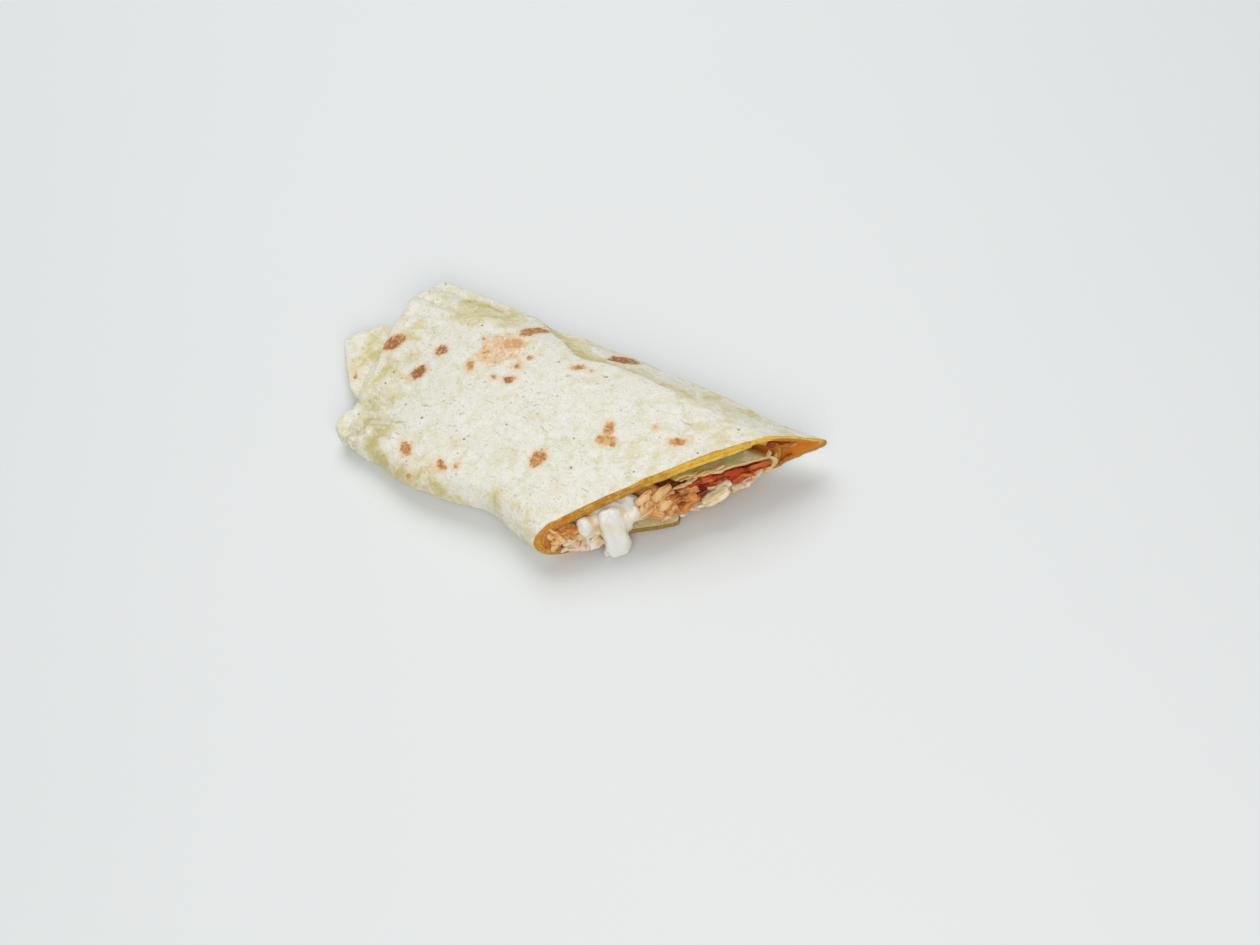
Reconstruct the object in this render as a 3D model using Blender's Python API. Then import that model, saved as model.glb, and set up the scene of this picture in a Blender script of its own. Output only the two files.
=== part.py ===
"""Half of a chicken fajita wrap, cut slantwise, lying on its seam.

A soft flour tortilla is rolled twice round a filling of rice, shredded chicken,
sour cream, red pepper and onion. One end is tucked in, the other is the knife cut.

Frame: metres, +Z up, origin under the middle of the bounding box. +X runs along the
roll from the tucked end to the cut, +Y points to the long side that ends in the tip.
Two numbers place everything: "along" is 0 at the tucked end and 1 at the cut, and
"across" is a distance from the short side's fold, 0 to ACROSS, towards the tip.
"""

import math
import random

import bpy
import numpy as np

mm = 0.001

# Outline of the half in plan: the four corners of the folded parcel
BACK_END = np.array((-70.0, 39.0)) * mm
FRONT_END = np.array((-53.0, -38.0)) * mm
FRONT_CUT = np.array((29.0, -41.5)) * mm
TIP = np.array((92.0, 43.5)) * mm
ACROSS = 80.0 * mm
END_BULGE = 8.0 * mm
WAIST = 4.0 * mm
RIDGE_DIP = 2.2 * mm

# The sheet, and the space it takes in a stack of layers
SHEET = 2.1 * mm
PITCH = SHEET + 0.35 * mm
CLEAR = 0.4 * mm

# Where the roll folds and where the sheet's two free ends lie, measured across
INNER_FOLD = 60.0 * mm
TIP_FOLD = 77.0 * mm
INNER_END = 38.0 * mm
SEAM_END = 50.0 * mm
LEFT_RADIUS = 8.2 * mm

# Height of the roll's top at the cut, and of the underside near the tip, against across
CREST = np.array(((0, 17.0), (8, 18.5), (17, 20.6), (30, 23.4), (41, 25.2), (52, 26.0),
                  (60, 25.2), (65, 24.0), (68, 21.9), (72, 18.6), (77, 13.9), (80, 11.8))) * mm
UNDER_TIP = np.array(((48, 0), (50, 0), (55, 0.6), (60, 2.0),
                      (66, 4.6), (72, 7.4), (77, 9.4), (80, 10.4))) * mm
UNDER_FOLD = np.array(((42, 0), (44, 0), (52, 0.9), (60, 3.4))) * mm
LAYER_GAP = np.array(((38, 0.2), (42, 0.5), (50, 1.8), (57, 2.4), (60, 2.2))) * mm

# Tongue of the inner bottom layer that the knife left poking out, against across
TONGUE = np.array(((20, 0), (24, 0.8), (30, 2.8), (34, 3.8),
                   (36.5, 0.4), (38, -1.0), (44, -3.4), (60, -4.0))) * mm
# How far the bottom layers' cut edges lie back under the filling, against across
UNDERCUT = np.array(((34, 0), (38, 1.6), (46, 4.6), (60, 5.0), (66, 3.4), (74, 0.6), (77, 0))) * mm

# Share of the full height that the filling props up, against along
SWELL = np.array(((0.0, 0.05), (0.06, 0.2), (0.15, 0.45), (0.3, 0.7), (0.5, 0.88), (0.75, 1.0), (1.0, 1.0)))
STATIONS = (0.0, 0.05, 0.11, 0.19, 0.29, 0.4, 0.52, 0.64, 0.75, 0.84, 0.91, 0.96, 1.0)
CUT_ZONE = 0.84

TORTILLA_COLOUR = (0.80, 0.76, 0.60)
RICE_COLOUR = (0.86, 0.55, 0.30)
CREAM_COLOUR = (0.92, 0.89, 0.80)
CHICKEN_COLOUR = (0.78, 0.55, 0.34)
PEPPER_COLOUR = (0.60, 0.07, 0.03)
ONION_COLOUR = (0.88, 0.80, 0.62)


def clear_scene():
    for obj in list(bpy.data.objects):
        bpy.data.objects.remove(obj)


def food_material(name, colour, roughness):
    material = bpy.data.materials.new(name)
    material.use_nodes = True
    shader = material.node_tree.nodes["Principled BSDF"]
    shader.inputs["Base Color"].default_value = (*colour, 1.0)
    shader.inputs["Roughness"].default_value = roughness
    return material


def mesh_object(name, points, faces, material=None):
    mesh = bpy.data.meshes.new(name)
    mesh.from_pydata([tuple(p) for p in points], [], [tuple(int(i) for i in f) for f in faces])
    mesh.validate()
    obj = bpy.data.objects.new(name, mesh)
    bpy.context.scene.collection.objects.link(obj)
    if material:
        mesh.materials.append(material)
    return obj


def curve(knots, at):
    """Smooth curve through (x, y) knots: a cubic Hermite whose slopes come from the neighbours."""
    x, y = np.asarray(knots, float).T
    at = np.clip(np.asarray(at, float), x[0], x[-1])
    slope = np.gradient(y, x)
    i = np.clip(np.searchsorted(x, at, side="right") - 1, 0, len(x) - 2)
    step = x[i + 1] - x[i]
    t = (at - x[i]) / step
    return (
        (1 + 2 * t) * (1 - t) ** 2 * y[i]
        + t * (1 - t) ** 2 * step * slope[i]
        + t * t * (3 - 2 * t) * y[i + 1]
        + t * t * (t - 1) * step * slope[i + 1]
    )


def ease(low, high, x):
    """Smooth step from 0 at low to 1 at high."""
    t = np.clip((np.asarray(x, float) - low) / (high - low), 0, 1)
    return t * t * (3 - 2 * t)


def plan(along, across):
    """Point in plan: straight lines between the corners, with the tucked end bowed out, a waist in
    the short side and a dip in the ridge by the tip."""
    along = np.asarray(along, float)[..., None]
    side = (np.asarray(across, float) / ACROSS)[..., None]
    back = FRONT_END + (BACK_END - FRONT_END) * side
    front = FRONT_CUT + (TIP - FRONT_CUT) * side
    point = back + (front - back) * along
    bow = np.clip(4 * side * (1 - side), 0, 1) ** 0.6
    point[..., 0:1] -= END_BULGE * bow * (1 - along) ** 2
    waist = np.exp(-(((along - 0.72) / 0.16) ** 2)) - 0.5 * np.exp(-(((along - 0.3) / 0.14) ** 2))
    point[..., 1:2] += WAIST * waist * (1 - side) ** 2
    point[..., 1:2] -= RIDGE_DIP * np.exp(-(((along - 0.88) / 0.08) ** 2)) * side**4
    return point


# ---- Cross-section of the roll: heights of each layer's middle line

def swell(along):
    return curve(SWELL, along)


def stacked(flat, full, along):
    """A layer's height, between lying flat on the layers below and its place at the cut."""
    return flat + (full - flat) * swell(along)


def over_seam(across):
    """One layer more lies below, from where the seam end slips under the roll."""
    return PITCH * ease(40 * mm, 49 * mm, across)


def over_inner_end(across):
    """One layer more lies between bottom and top, from the sheet's inner end on."""
    return PITCH * ease(30 * mm, 38 * mm, across)


def bottom_outer(across, along):
    flat = SHEET / 2 + over_seam(across)
    return stacked(flat, flat + curve(UNDER_FOLD, across), along)


def bottom_inner(across, along):
    return bottom_outer(across, along) + PITCH


def top_outer(across, along):
    layers = 3 * PITCH + over_seam(across) + over_inner_end(across)
    beyond = ease(INNER_FOLD + 2 * mm, TIP_FOLD, across)
    flat = SHEET / 2 + layers * (1 - beyond) + 3.5 * PITCH * beyond
    return stacked(flat, curve(CREST, across) - SHEET / 2, along)


def top_second(across, along):
    return top_outer(across, along) - PITCH


def top_inner(across, along):
    return top_second(across, along) - PITCH - curve(LAYER_GAP, across) * swell(along)


def seam_flap(across, along):
    flat = SHEET / 2 + 2.1 * PITCH * ease(INNER_FOLD, TIP_FOLD, across)
    return stacked(flat, SHEET / 2 + curve(UNDER_TIP, across), along)


def fold(across, height_from, height_to, along, side, count):
    """Half circle that joins two layers at a fold, bulging to side +1 (long) or -1 (short)."""
    from_height, to_height = float(height_from(across, along)), float(height_to(across, along))
    middle, radius = (from_height + to_height) / 2, (from_height - to_height) / 2
    angle = np.linspace(0, math.pi, count + 2)[1:-1]
    return np.stack((across + side * abs(radius) * np.sin(angle), middle + radius * np.cos(angle)), axis=1)


def layer(height_of, start, end, count, along):
    across = np.linspace(start, end, count)
    return np.stack((across, height_of(across, along)), axis=1)


def roll_line(along):
    """Middle line of the rolled sheet, from its inner free end out to the seam, and how far the
    cut edge pokes out."""
    left = (top_outer(LEFT_RADIUS, along) - bottom_outer(LEFT_RADIUS, along)) / 2
    runs = (
        (layer(top_inner, INNER_END, INNER_FOLD, 6, along), 3.2),
        (fold(INNER_FOLD, top_inner, bottom_inner, along, 1, 5), 2.6),
        (layer(bottom_inner, INNER_FOLD, left, 12, along), 2.6),
        (fold(left, bottom_inner, top_second, along, -1, 6), 1.6),
        (layer(top_second, left, INNER_FOLD, 13, along), 0.6),
        (fold(INNER_FOLD, top_second, bottom_outer, along, 1, 7), 0.8),
        (layer(bottom_outer, INNER_FOLD, left, 12, along), 1.2),
        (fold(left, bottom_outer, top_outer, along, -1, 8), 0.8),
        (layer(top_outer, left, TIP_FOLD, 17, along), 0.0),
        (fold(TIP_FOLD, top_outer, seam_flap, along, 1, 4), 0.0),
        (layer(seam_flap, TIP_FOLD, SEAM_END, 8, along), 0.4),
    )
    line = np.concatenate([run for run, _ in runs])
    pokes = np.concatenate([np.full(len(run), poke * mm) for run, poke in runs])
    smooth = np.convolve(np.pad(pokes, 2, mode="edge"), np.ones(5) / 5, mode="valid")
    lies_under = slice(len(runs[0][0]) + len(runs[1][0]), len(runs[0][0]) + len(runs[1][0]) + len(runs[2][0]))
    smooth[lies_under] += curve(TONGUE, line[lies_under, 0])
    outer_bottom = slice(sum(len(run) for run, _ in runs[:6]), sum(len(run) for run, _ in runs[:7]))
    smooth[outer_bottom] -= curve(UNDERCUT, line[outer_bottom, 0])
    seam = slice(sum(len(run) for run, _ in runs[:10]), None)
    smooth[seam] -= curve(UNDERCUT, line[seam, 0])
    return line, smooth


def edge_lines(line):
    """The sheet's two faces in section: the middle line moved half a thickness to either side."""
    direction = np.gradient(line, axis=0)
    direction /= np.linalg.norm(direction, axis=1)[:, None]
    normal = np.stack((-direction[:, 1], direction[:, 0]), axis=1)
    return line + normal * SHEET / 2, line - normal * SHEET / 2


def placed(section, along, poke=0.0):
    """Section points (across, height) set in space at a station; poke moves them out past the cut."""
    flat = plan(np.full(len(section), along), section[:, 0])
    flat[:, 0] += poke * ease(CUT_ZONE, 1.0, along)
    return np.column_stack((flat, section[:, 1]))


def lofted(rings, caps):
    """Faces between equal rings of points, and the given faces at the first and last ring."""
    size = len(rings[0])
    faces = []
    for row in range(len(rings) - 1):
        for k in range(size):
            after = (k + 1) % size
            faces.append((row * size + k, row * size + after, (row + 1) * size + after, (row + 1) * size + k))
    last = (len(rings) - 1) * size
    faces += [tuple(cap) for cap in caps]
    faces += [tuple(last + k for k in reversed(cap)) for cap in caps]
    return np.concatenate(rings), faces


def turned_out(obj):
    """Turns the mesh if its faces point inwards, told from the signed volume."""
    obj.data.calc_loop_triangles()
    points = np.array([v.co for v in obj.data.vertices])
    triangles = np.array([t.vertices for t in obj.data.loop_triangles])
    if np.linalg.det(points[triangles]).sum() < 0:
        obj.data.flip_normals()
    return obj


def joined(target, others):
    """Boolean union of target with the other objects, applied, and the others removed."""
    group = bpy.data.collections.new(target.name + "_pieces")
    for other in others:
        bpy.context.scene.collection.objects.unlink(other)
        group.objects.link(other)
    modifier = target.modifiers.new("Join", "BOOLEAN")
    modifier.operation = "UNION"
    modifier.operand_type = "COLLECTION"
    modifier.collection = group
    modifier.solver = "MANIFOLD"
    graph = bpy.context.evaluated_depsgraph_get()
    whole = bpy.data.meshes.new_from_object(target.evaluated_get(graph))
    target.modifiers.remove(modifier)
    target.data = whole
    for other in others:
        bpy.data.objects.remove(other)
    bpy.data.collections.remove(group)
    return target


def rolled_sheet(material):
    rings = []
    for along in STATIONS:
        line, poke = roll_line(along)
        outer, inner = edge_lines(line)
        section = np.concatenate((outer, inner[::-1]))
        rings.append(placed(section, along, np.concatenate((poke, poke[::-1]))))
    size = len(rings[0])
    strips = [(k, size - 1 - k, size - 2 - k, k + 1) for k in range(size // 2 - 1)]
    points, faces = lofted(rings, strips)
    return turned_out(mesh_object("tortilla", points, faces, material))


def envelope(along, inset):
    """Closed outline round the whole roll at a station, inset a little."""
    left = (top_outer(LEFT_RADIUS, along) - bottom_outer(LEFT_RADIUS, along)) / 2
    over = layer(top_outer, left, TIP_FOLD, 14, along)
    tip = fold(TIP_FOLD, top_outer, seam_flap, along, 1, 4)
    under = layer(seam_flap, TIP_FOLD, SEAM_END, 7, along)
    under_left = layer(bottom_outer, 42 * mm, left, 9, along)
    round_left = fold(left, bottom_outer, top_outer, along, -1, 7)
    line = np.concatenate((over, tip, under, under_left, round_left))
    direction = np.roll(line, -1, axis=0) - np.roll(line, 1, axis=0)
    direction /= np.linalg.norm(direction, axis=1)[:, None]
    outward = np.stack((-direction[:, 1], direction[:, 0]), axis=1)
    return line + outward * (SHEET / 2 - inset)


END_ROUND = 5.5 * mm
END_DEPTH = 0.07
END_INSET = 0.3 * mm
PLEATS = 2.6
PLEAT_SHARE = 0.22


def tucked_end():
    """The folded-in end: a solid pillow that closes the roll and rounds off outwards, with its pleats."""
    outline = envelope(0.0, END_INSET)
    centre = (outline.max(axis=0) + outline.min(axis=0)) / 2
    rings = [placed(envelope(END_DEPTH, END_INSET), END_DEPTH), placed(outline, 0.0)]
    pleat = 1 + PLEAT_SHARE * np.sin(outline[:, 0] / ACROSS * 2 * PLEATS * math.pi)
    for angle in np.radians((22, 42, 60, 76)):
        shrink = np.array((1 - 0.09 * (1 - math.cos(angle)), math.cos(angle) ** 0.8))
        ring = placed(centre + (outline - centre) * shrink, 0.0)
        ring[:, 0] -= END_ROUND * math.sin(angle) * pleat
        rings.append(ring)
    size = len(outline)
    points, faces = lofted(rings, [])
    hubs = [rings[0].mean(axis=0), rings[-1].mean(axis=0)]
    points = np.concatenate((points, hubs))
    last = (len(rings) - 1) * size
    for k in range(size):
        after = (k + 1) % size
        faces.append((len(points) - 2, after, k))
        faces.append((len(points) - 1, last + k, last + after))
    return turned_out(mesh_object("tucked_end", points, faces))


def rounded_block(name, centre, size, heading, lean, steps=(14, 7), square=2.6):
    """Superellipsoid flap or lump: |x|^n + |y|^n in plan, rounder in height, turned in plan and leaned."""
    around = np.linspace(0, 2 * math.pi, steps[0], endpoint=False)
    up = np.linspace(-math.pi / 2, math.pi / 2, steps[1] + 2)[1:-1]
    power = 2 / square
    ring = np.stack((np.sign(np.cos(around)) * np.abs(np.cos(around)) ** power,
                     np.sign(np.sin(around)) * np.abs(np.sin(around)) ** power), axis=1)
    rows = [np.column_stack((ring * math.cos(a) ** 0.6, np.full(len(ring), math.sin(a)))) for a in up]
    points, faces = lofted(rows, [])
    points = np.concatenate((points, ((0, 0, -1), (0, 0, 1)))) * np.asarray(size) / 2
    count, last = len(around), (len(rows) - 1) * len(around)
    for k in range(count):
        after = (k + 1) % count
        faces.append((len(points) - 2, after, k))
        faces.append((len(points) - 1, last + k, last + after))
    points = points @ turn(heading, lean).T + np.asarray(centre)
    return turned_out(mesh_object(name, points, faces))


def flap(name, outline, height, thickness, rise):
    """A folded double flap: a flat shape with rounded edges that rises a little towards its outer end."""
    outline = np.asarray(outline, float)
    centre = outline.mean(axis=0)
    rings = []
    for inset, level in ((0.16, -0.5), (0.03, -0.36), (0.0, 0.0), (0.03, 0.36), (0.16, 0.5)):
        ring = outline + (centre - outline) * inset
        reach = (centre[0] - ring[:, 0]) / np.ptp(outline[:, 0])
        rings.append(np.column_stack((ring, height + level * thickness + rise * reach)))
    points, faces = lofted(rings, [])
    count, last = len(outline), (len(rings) - 1) * len(outline)
    points = np.concatenate((points, [rings[0].mean(axis=0), rings[-1].mean(axis=0)])) * mm
    for k in range(count):
        after = (k + 1) % count
        faces.append((len(points) - 2, after, k))
        faces.append((len(points) - 1, last + k, last + after))
    return turned_out(mesh_object(name, points, faces))


# Outlines of the two folded corners that stick out of the tucked end, in mm
EAR_LONG = (
    (-81.1, 12.6), (-85.6, 10.6), (-88.9, 6.6), (-91.2, 2.2), (-91.5, -1.8), (-88.6, -5.6), (-84.5, -9.8),
    (-80.4, -13.6), (-76.5, -17.0), (-72.8, -19.6), (-68.0, -20.0), (-68.5, -10.0), (-70.0, 2.0), (-73.0, 14.0),
)
EAR_SHORT = (
    (-65.2, -25.4), (-67.4, -29.2), (-67.6, -32.4), (-66.8, -35.4), (-64.0, -37.6),
    (-60.0, -38.6), (-54.5, -38.2), (-51.0, -34.0), (-53.0, -27.0), (-59.0, -23.0),
)


def turn(heading, lean):
    """Rotation: lean about the piece's own length, then heading about +Z."""
    ch, sh, cl, sl = math.cos(heading), math.sin(heading), math.cos(lean), math.sin(lean)
    about_z = np.array(((ch, -sh, 0), (sh, ch, 0), (0, 0, 1)))
    about_y = np.array(((cl, 0, sl), (0, 1, 0), (-sl, 0, cl)))
    return about_z @ about_y


def tortilla():
    material = food_material("tortilla", TORTILLA_COLOUR, 0.65)
    sheet = rolled_sheet(material)
    ears = [flap("ear_long", EAR_LONG, 5.6, 4.4, -0.8), flap("ear_short", EAR_SHORT, 6.4, 6.4, 0.4)]
    return joined(sheet, [tucked_end(), *ears])


# ---- Filling: pieces packed side by side in the hollow of the roll

OUT_OF_CUT = np.array((0.808, -0.589))
FILLING_START = 0.15


def hollow(across, along):
    """Lowest and highest the filling can lie, with the hollow's rounded ends."""
    left = (top_outer(LEFT_RADIUS, along) - bottom_outer(LEFT_RADIUS, along)) / 2
    under_top = top_second(across, along) * (1 - ease(33 * mm, 36.5 * mm, across))
    under_top += (top_inner(across, along) - 0.1 * mm) * ease(33 * mm, 36.5 * mm, across)
    low = bottom_inner(across, along) + SHEET / 2 + CLEAR
    high = under_top - SHEET / 2 - CLEAR
    for edge, side in ((left, -1), (INNER_FOLD, 1)):
        at = np.array([float(edge)])
        upper = float((top_second if side < 0 else top_inner)(at, along)[0]) - SHEET / 2 - CLEAR
        lower = float(bottom_inner(at, along)[0]) + SHEET / 2 + CLEAR
        radius = (upper - lower) / 2
        beyond = np.clip(side * (across - edge), 0, 0.98 * radius)
        half = np.sqrt(radius**2 - beyond**2)
        past = side * (across - edge) > 0
        low = np.where(past, (upper + lower) / 2 - half, low)
        high = np.where(past, (upper + lower) / 2 + half, high)
    return low, high


def packed(name, across_span, height_span, reach, lumps, seed, colour, steps=16, corner=0.3):
    """A piece that runs through the roll in its share of the hollow and domes out of the cut by reach."""
    rng = random.Random(seed)
    around = np.linspace(0, 2 * math.pi, steps, endpoint=False) + math.pi / steps
    ring = np.stack((np.cos(around), np.sin(around)), axis=1)
    ring /= (np.abs(ring) ** (1 / corner)).sum(axis=1)[:, None] ** corner
    first, last = (v * mm for v in across_span)
    margin = 0.16 * mm

    def section(along, shrink=1.0, out=0.0, wobble=0.0):
        across = (first + last) / 2 + ring[:, 0] * shrink * ((last - first) / 2 - margin)
        low, high = hollow(across, along)
        bottom = low + (high - low) * height_span[0] + (margin if height_span[0] > 0 else 0)
        top = low + (high - low) * height_span[1] - (margin if height_span[1] < 1 else 0)
        height = (bottom + top) / 2 + ring[:, 1] * shrink * (top - bottom) / 2
        points = np.column_stack((plan(np.full(steps, along), across), height))
        jitter = np.array([rng.uniform(-1, 1) for _ in range(steps)]) * wobble
        points[:, :2] += OUT_OF_CUT * (out + jitter)[:, None] * mm
        return points

    rings = [section(FILLING_START, 0.45), section(FILLING_START + 0.02, 0.85)]
    rings += [section(along) for along in (FILLING_START + 0.06, 0.34, 0.52, 0.72, 0.9, 1.0)]
    rings += [section(1.0, 0.97, reach * 0.55, lumps), section(1.0, 0.8, reach * 0.85, lumps),
              section(1.0, 0.42, reach, lumps)]
    points, faces = lofted(rings, [])
    hubs = [rings[0].mean(axis=0), rings[-1].mean(axis=0)]
    base = (len(rings) - 1) * steps
    for k in range(steps):
        after = (k + 1) % steps
        faces.append((len(points), after, k))
        faces.append((len(points) + 1, base + k, base + after))
    material = food_material(name, colour, 0.6)
    return turned_out(mesh_object(name, np.concatenate((points, hubs)), faces, material))


def at_cut(across, height, out):
    """Point in space from its place on the cut face, in mm, and how far it lies in front of it."""
    point = plan(np.array([1.0]), np.array([across * mm]))[0] + OUT_OF_CUT * out * mm
    return np.array((*point, height * mm))


# Rows of cooked grains at the cut, in mm: first and last across, step, height over the bed's foot,
# and how far out of the cut
RICE_ROWS = ((9.5, 24.0, 3.0, 1.3, 3.3), (36.5, 58.5, 3.0, 1.3, 3.0), (13.0, 23.0, 3.9, 2.45, 2.7),
             (37.0, 42.0, 3.9, 2.45, 2.7))
RICE_GRAIN = np.array((6.3, 2.3, 1.9)) * mm
ALONG_CUT = math.radians(54)
GRAIN_TURN = math.radians(35)


def rice():
    """The rice bed under everything else, with the cooked grains that show at the cut."""
    bed = packed("rice", (5.0, 61.0), (0.0, 0.3), 2.4, 0.3, 3, RICE_COLOUR, steps=30, corner=0.2)
    rng = random.Random(5)
    grains = []
    for first, last, step, height, out in RICE_ROWS:
        across = first
        while across < last:
            low = float(hollow(np.array([across * mm]), 1.0)[0][0]) / mm
            centre = at_cut(across, low + height + rng.uniform(-0.1, 0.1), out + rng.uniform(-0.3, 0.6))
            heading = ALONG_CUT + rng.uniform(-GRAIN_TURN, GRAIN_TURN)
            lean = math.radians(rng.uniform(-5, 5))
            grains.append(rounded_block("grain", centre, RICE_GRAIN, heading, lean, steps=(6, 2), square=2.0))
            across += step * rng.uniform(0.85, 1.15)
    return joined(bed, grains)


# Lobes of cream at the cut, in mm: across, height and out of the cut, then thickness, width and height,
# how far it leans in degrees, its points round and up, and how square it is
CREAM_LOBES = {
    "lobe": ((19.6, 8.0, 9.0), (5.4, 9.6, 15.4), -7, (14, 7), 3.4),
    "knob": ((13.6, 11.6, 4.2), (6.0, 5.0, 6.6), 0, (10, 5), 2.2),
    "neck": ((20.6, 12.4, 6.0), (9.0, 12.0, 7.0), 12, (12, 5), 2.6),
}


def sour_cream():
    """Sour cream spooned along the roll; at the cut a thick lobe of it slumps down over the rice."""
    cream = packed("sour_cream", (11.4, 29.0), (0.3, 1.0), 4.6, 0.3, 5, CREAM_COLOUR, steps=20)
    heading = math.atan2(OUT_OF_CUT[1], OUT_OF_CUT[0])
    lobes = [
        rounded_block(name, at_cut(*place), np.array(size) * mm, heading, math.radians(lean), steps, square)
        for name, (place, size, lean, steps, square) in CREAM_LOBES.items()
    ]
    return joined(cream, lobes)


# The other pieces: across in mm, share of the hollow's height, reach out of the cut and lumps in mm,
# seed and colour
PIECES = {
    "chicken_1": ((4.6, 11.4), (0.33, 1.0), 3.2, 0.5, 7, CHICKEN_COLOUR),
    "chicken_2": ((29.0, 35.6), (0.3, 0.97), 5.0, 0.8, 8, CHICKEN_COLOUR),
    "chicken_3": ((35.6, 42.0), (0.3, 0.84), 5.6, 0.8, 9, CHICKEN_COLOUR),
    "red_pepper_1": ((42.0, 45.4), (0.3, 1.0), 3.6, 0.5, 21, PEPPER_COLOUR),
    "onion_1": ((45.4, 53.0), (0.3, 0.7), 6.2, 0.4, 22, ONION_COLOUR),
    "red_pepper_2": ((45.4, 53.0), (0.7, 1.0), 3.8, 0.5, 23, PEPPER_COLOUR),
    "onion_2": ((53.0, 57.6), (0.38, 0.58), 5.0, 0.4, 25, ONION_COLOUR),
    "onion_3": ((57.6, 61.4), (0.38, 0.58), 4.0, 0.4, 26, ONION_COLOUR),
    "red_pepper_3": ((53.0, 61.6), (0.58, 1.0), 4.4, 0.6, 24, PEPPER_COLOUR),
}


def filling():
    for name, (across, heights, reach, lumps, seed, colour) in PIECES.items():
        packed(name, across, heights, reach, lumps, seed, colour)


def main():
    clear_scene()
    tortilla()
    rice()
    sour_cream()
    filling()


main()
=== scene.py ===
import math

import bpy
import numpy as np
from mathutils import Matrix


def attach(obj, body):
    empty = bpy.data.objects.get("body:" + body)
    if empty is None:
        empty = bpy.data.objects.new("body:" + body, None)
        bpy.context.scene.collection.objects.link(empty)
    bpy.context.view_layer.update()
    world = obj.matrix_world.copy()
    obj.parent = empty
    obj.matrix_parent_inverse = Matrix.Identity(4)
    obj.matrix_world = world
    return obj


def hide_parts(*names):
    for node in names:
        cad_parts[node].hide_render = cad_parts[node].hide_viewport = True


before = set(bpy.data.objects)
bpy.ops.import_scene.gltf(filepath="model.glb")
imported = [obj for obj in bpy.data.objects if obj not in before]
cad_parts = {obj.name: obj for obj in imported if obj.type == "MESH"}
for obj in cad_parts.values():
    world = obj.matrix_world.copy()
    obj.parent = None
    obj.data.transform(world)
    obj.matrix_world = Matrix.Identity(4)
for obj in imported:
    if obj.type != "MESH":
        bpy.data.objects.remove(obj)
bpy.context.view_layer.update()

mm = 0.001


# ---- The tortilla sheet -------------------------------------------------------------------
# A soft griddled flatbread of wheat flour, 2 mm thick, rolled twice round the filling and
# pressed flat. Its free edge is caught underneath, and the slanting knife cut shows the
# layers. Lengths across the roll count from the short side's fold, along runs 0 to 1.

# Its width across, then the four corners in plan: two at the tucked end, two at the cut
across_all = 80 * mm
back_end, front_end = np.array((-70.0, 39.0)) * mm, np.array((-53.0, -38.0)) * mm
front_cut, tip = np.array((29.0, -41.5)) * mm, np.array((92.0, 43.5)) * mm
end_bulge, waist_depth, ridge_dip = 8 * mm, 4 * mm, 2.2 * mm
# Thickness, height from one layer to the next, and the filling's clearance
sheet, pitch, clear = 2.1 * mm, 2.45 * mm, 0.4 * mm
# How far across the folds and the two free edges lie
inner_fold, tip_fold, inner_end, seam_end, left_fold = (v * mm for v in (60, 77, 38, 50, 8.2))
# The knife drags the layers from here on along the roll, and presses them this much together
cut_zone = 0.84
pressed = 0.4 * mm

# Heights at the cut, as across and up: the top, the hollows under the tip and under the folds,
# the gap over the inner layer, how far the lower lip and the layers under it reach out, and
# how the roll swells from the tucked end to the cut
crest = np.array(((0, 17.0), (8, 18.5), (17, 20.6), (30, 23.4), (41, 25.2), (52, 26.0),
                  (60, 25.2), (65, 24.0), (68, 21.9), (72, 18.6), (77, 13.9), (80, 11.8))) * mm
under_tip = np.array(((48, 0), (50, 0), (55, 0.6), (60, 2.0), (66, 4.6), (72, 7.4),
                      (77, 9.4), (80, 10.4))) * mm
under_fold = np.array(((42, 0), (44, 0), (52, 0.9), (60, 3.4))) * mm
layer_gap = np.array(((38, 0.2), (42, 0.5), (50, 1.8), (57, 2.4), (60, 2.2))) * mm
tongue_reach = np.array(((20, 0), (24, 1.8), (30, 4.2), (33.4, 4.6), (36.2, 1.0), (38, -1.0),
                         (44, -3.4), (60, -4.0))) * mm
undercut = np.array(((34, 0), (38, 1.6), (46, 4.6), (60, 5.0), (66, 3.4), (74, 0.6), (77, 0))) * mm
swell_knots = np.array(((0, 0.05), (0.06, 0.2), (0.15, 0.45), (0.3, 0.7), (0.5, 0.88),
                        (0.75, 1), (1, 1)))


def curve(knots, at):
    """Smooth curve through (x, y) knots: a cubic Hermite whose slopes come from the neighbours."""
    x, y = knots.T
    at = np.clip(at, x[0], x[-1])
    slope = np.gradient(y, x)
    i = np.clip(np.searchsorted(x, at, side="right") - 1, 0, len(x) - 2)
    step = x[i + 1] - x[i]
    t = (at - x[i]) / step
    rise = (1 + 2 * t) * (1 - t) ** 2 * y[i] + t * t * (3 - 2 * t) * y[i + 1]
    return rise + step * (t * (1 - t) ** 2 * slope[i] + t * t * (t - 1) * slope[i + 1])


def ease(low, high, x):
    """Smooth step: 0 below low, 1 above high, and 3t^2 - 2t^3 between."""
    t = np.clip((x - low) / (high - low), 0, 1)
    return t * t * (3 - 2 * t)


def waves(points, size, seed, count=26):
    """Smooth random field between about -1 and 1: plane waves of about one length, with seeded
    directions and phases, added up and scaled by the root of their number."""
    rng = np.random.default_rng(seed)
    direction = rng.normal(size=(count, 3))
    direction /= np.linalg.norm(direction, axis=1)[:, None]
    direction *= 2 * math.pi / size * rng.uniform(0.6, 1.5, (count, 1))
    phase = rng.uniform(0, 2 * math.pi, count)
    return np.cos(points @ direction.T + phase).sum(axis=-1) / math.sqrt(count) * 0.8


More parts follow.
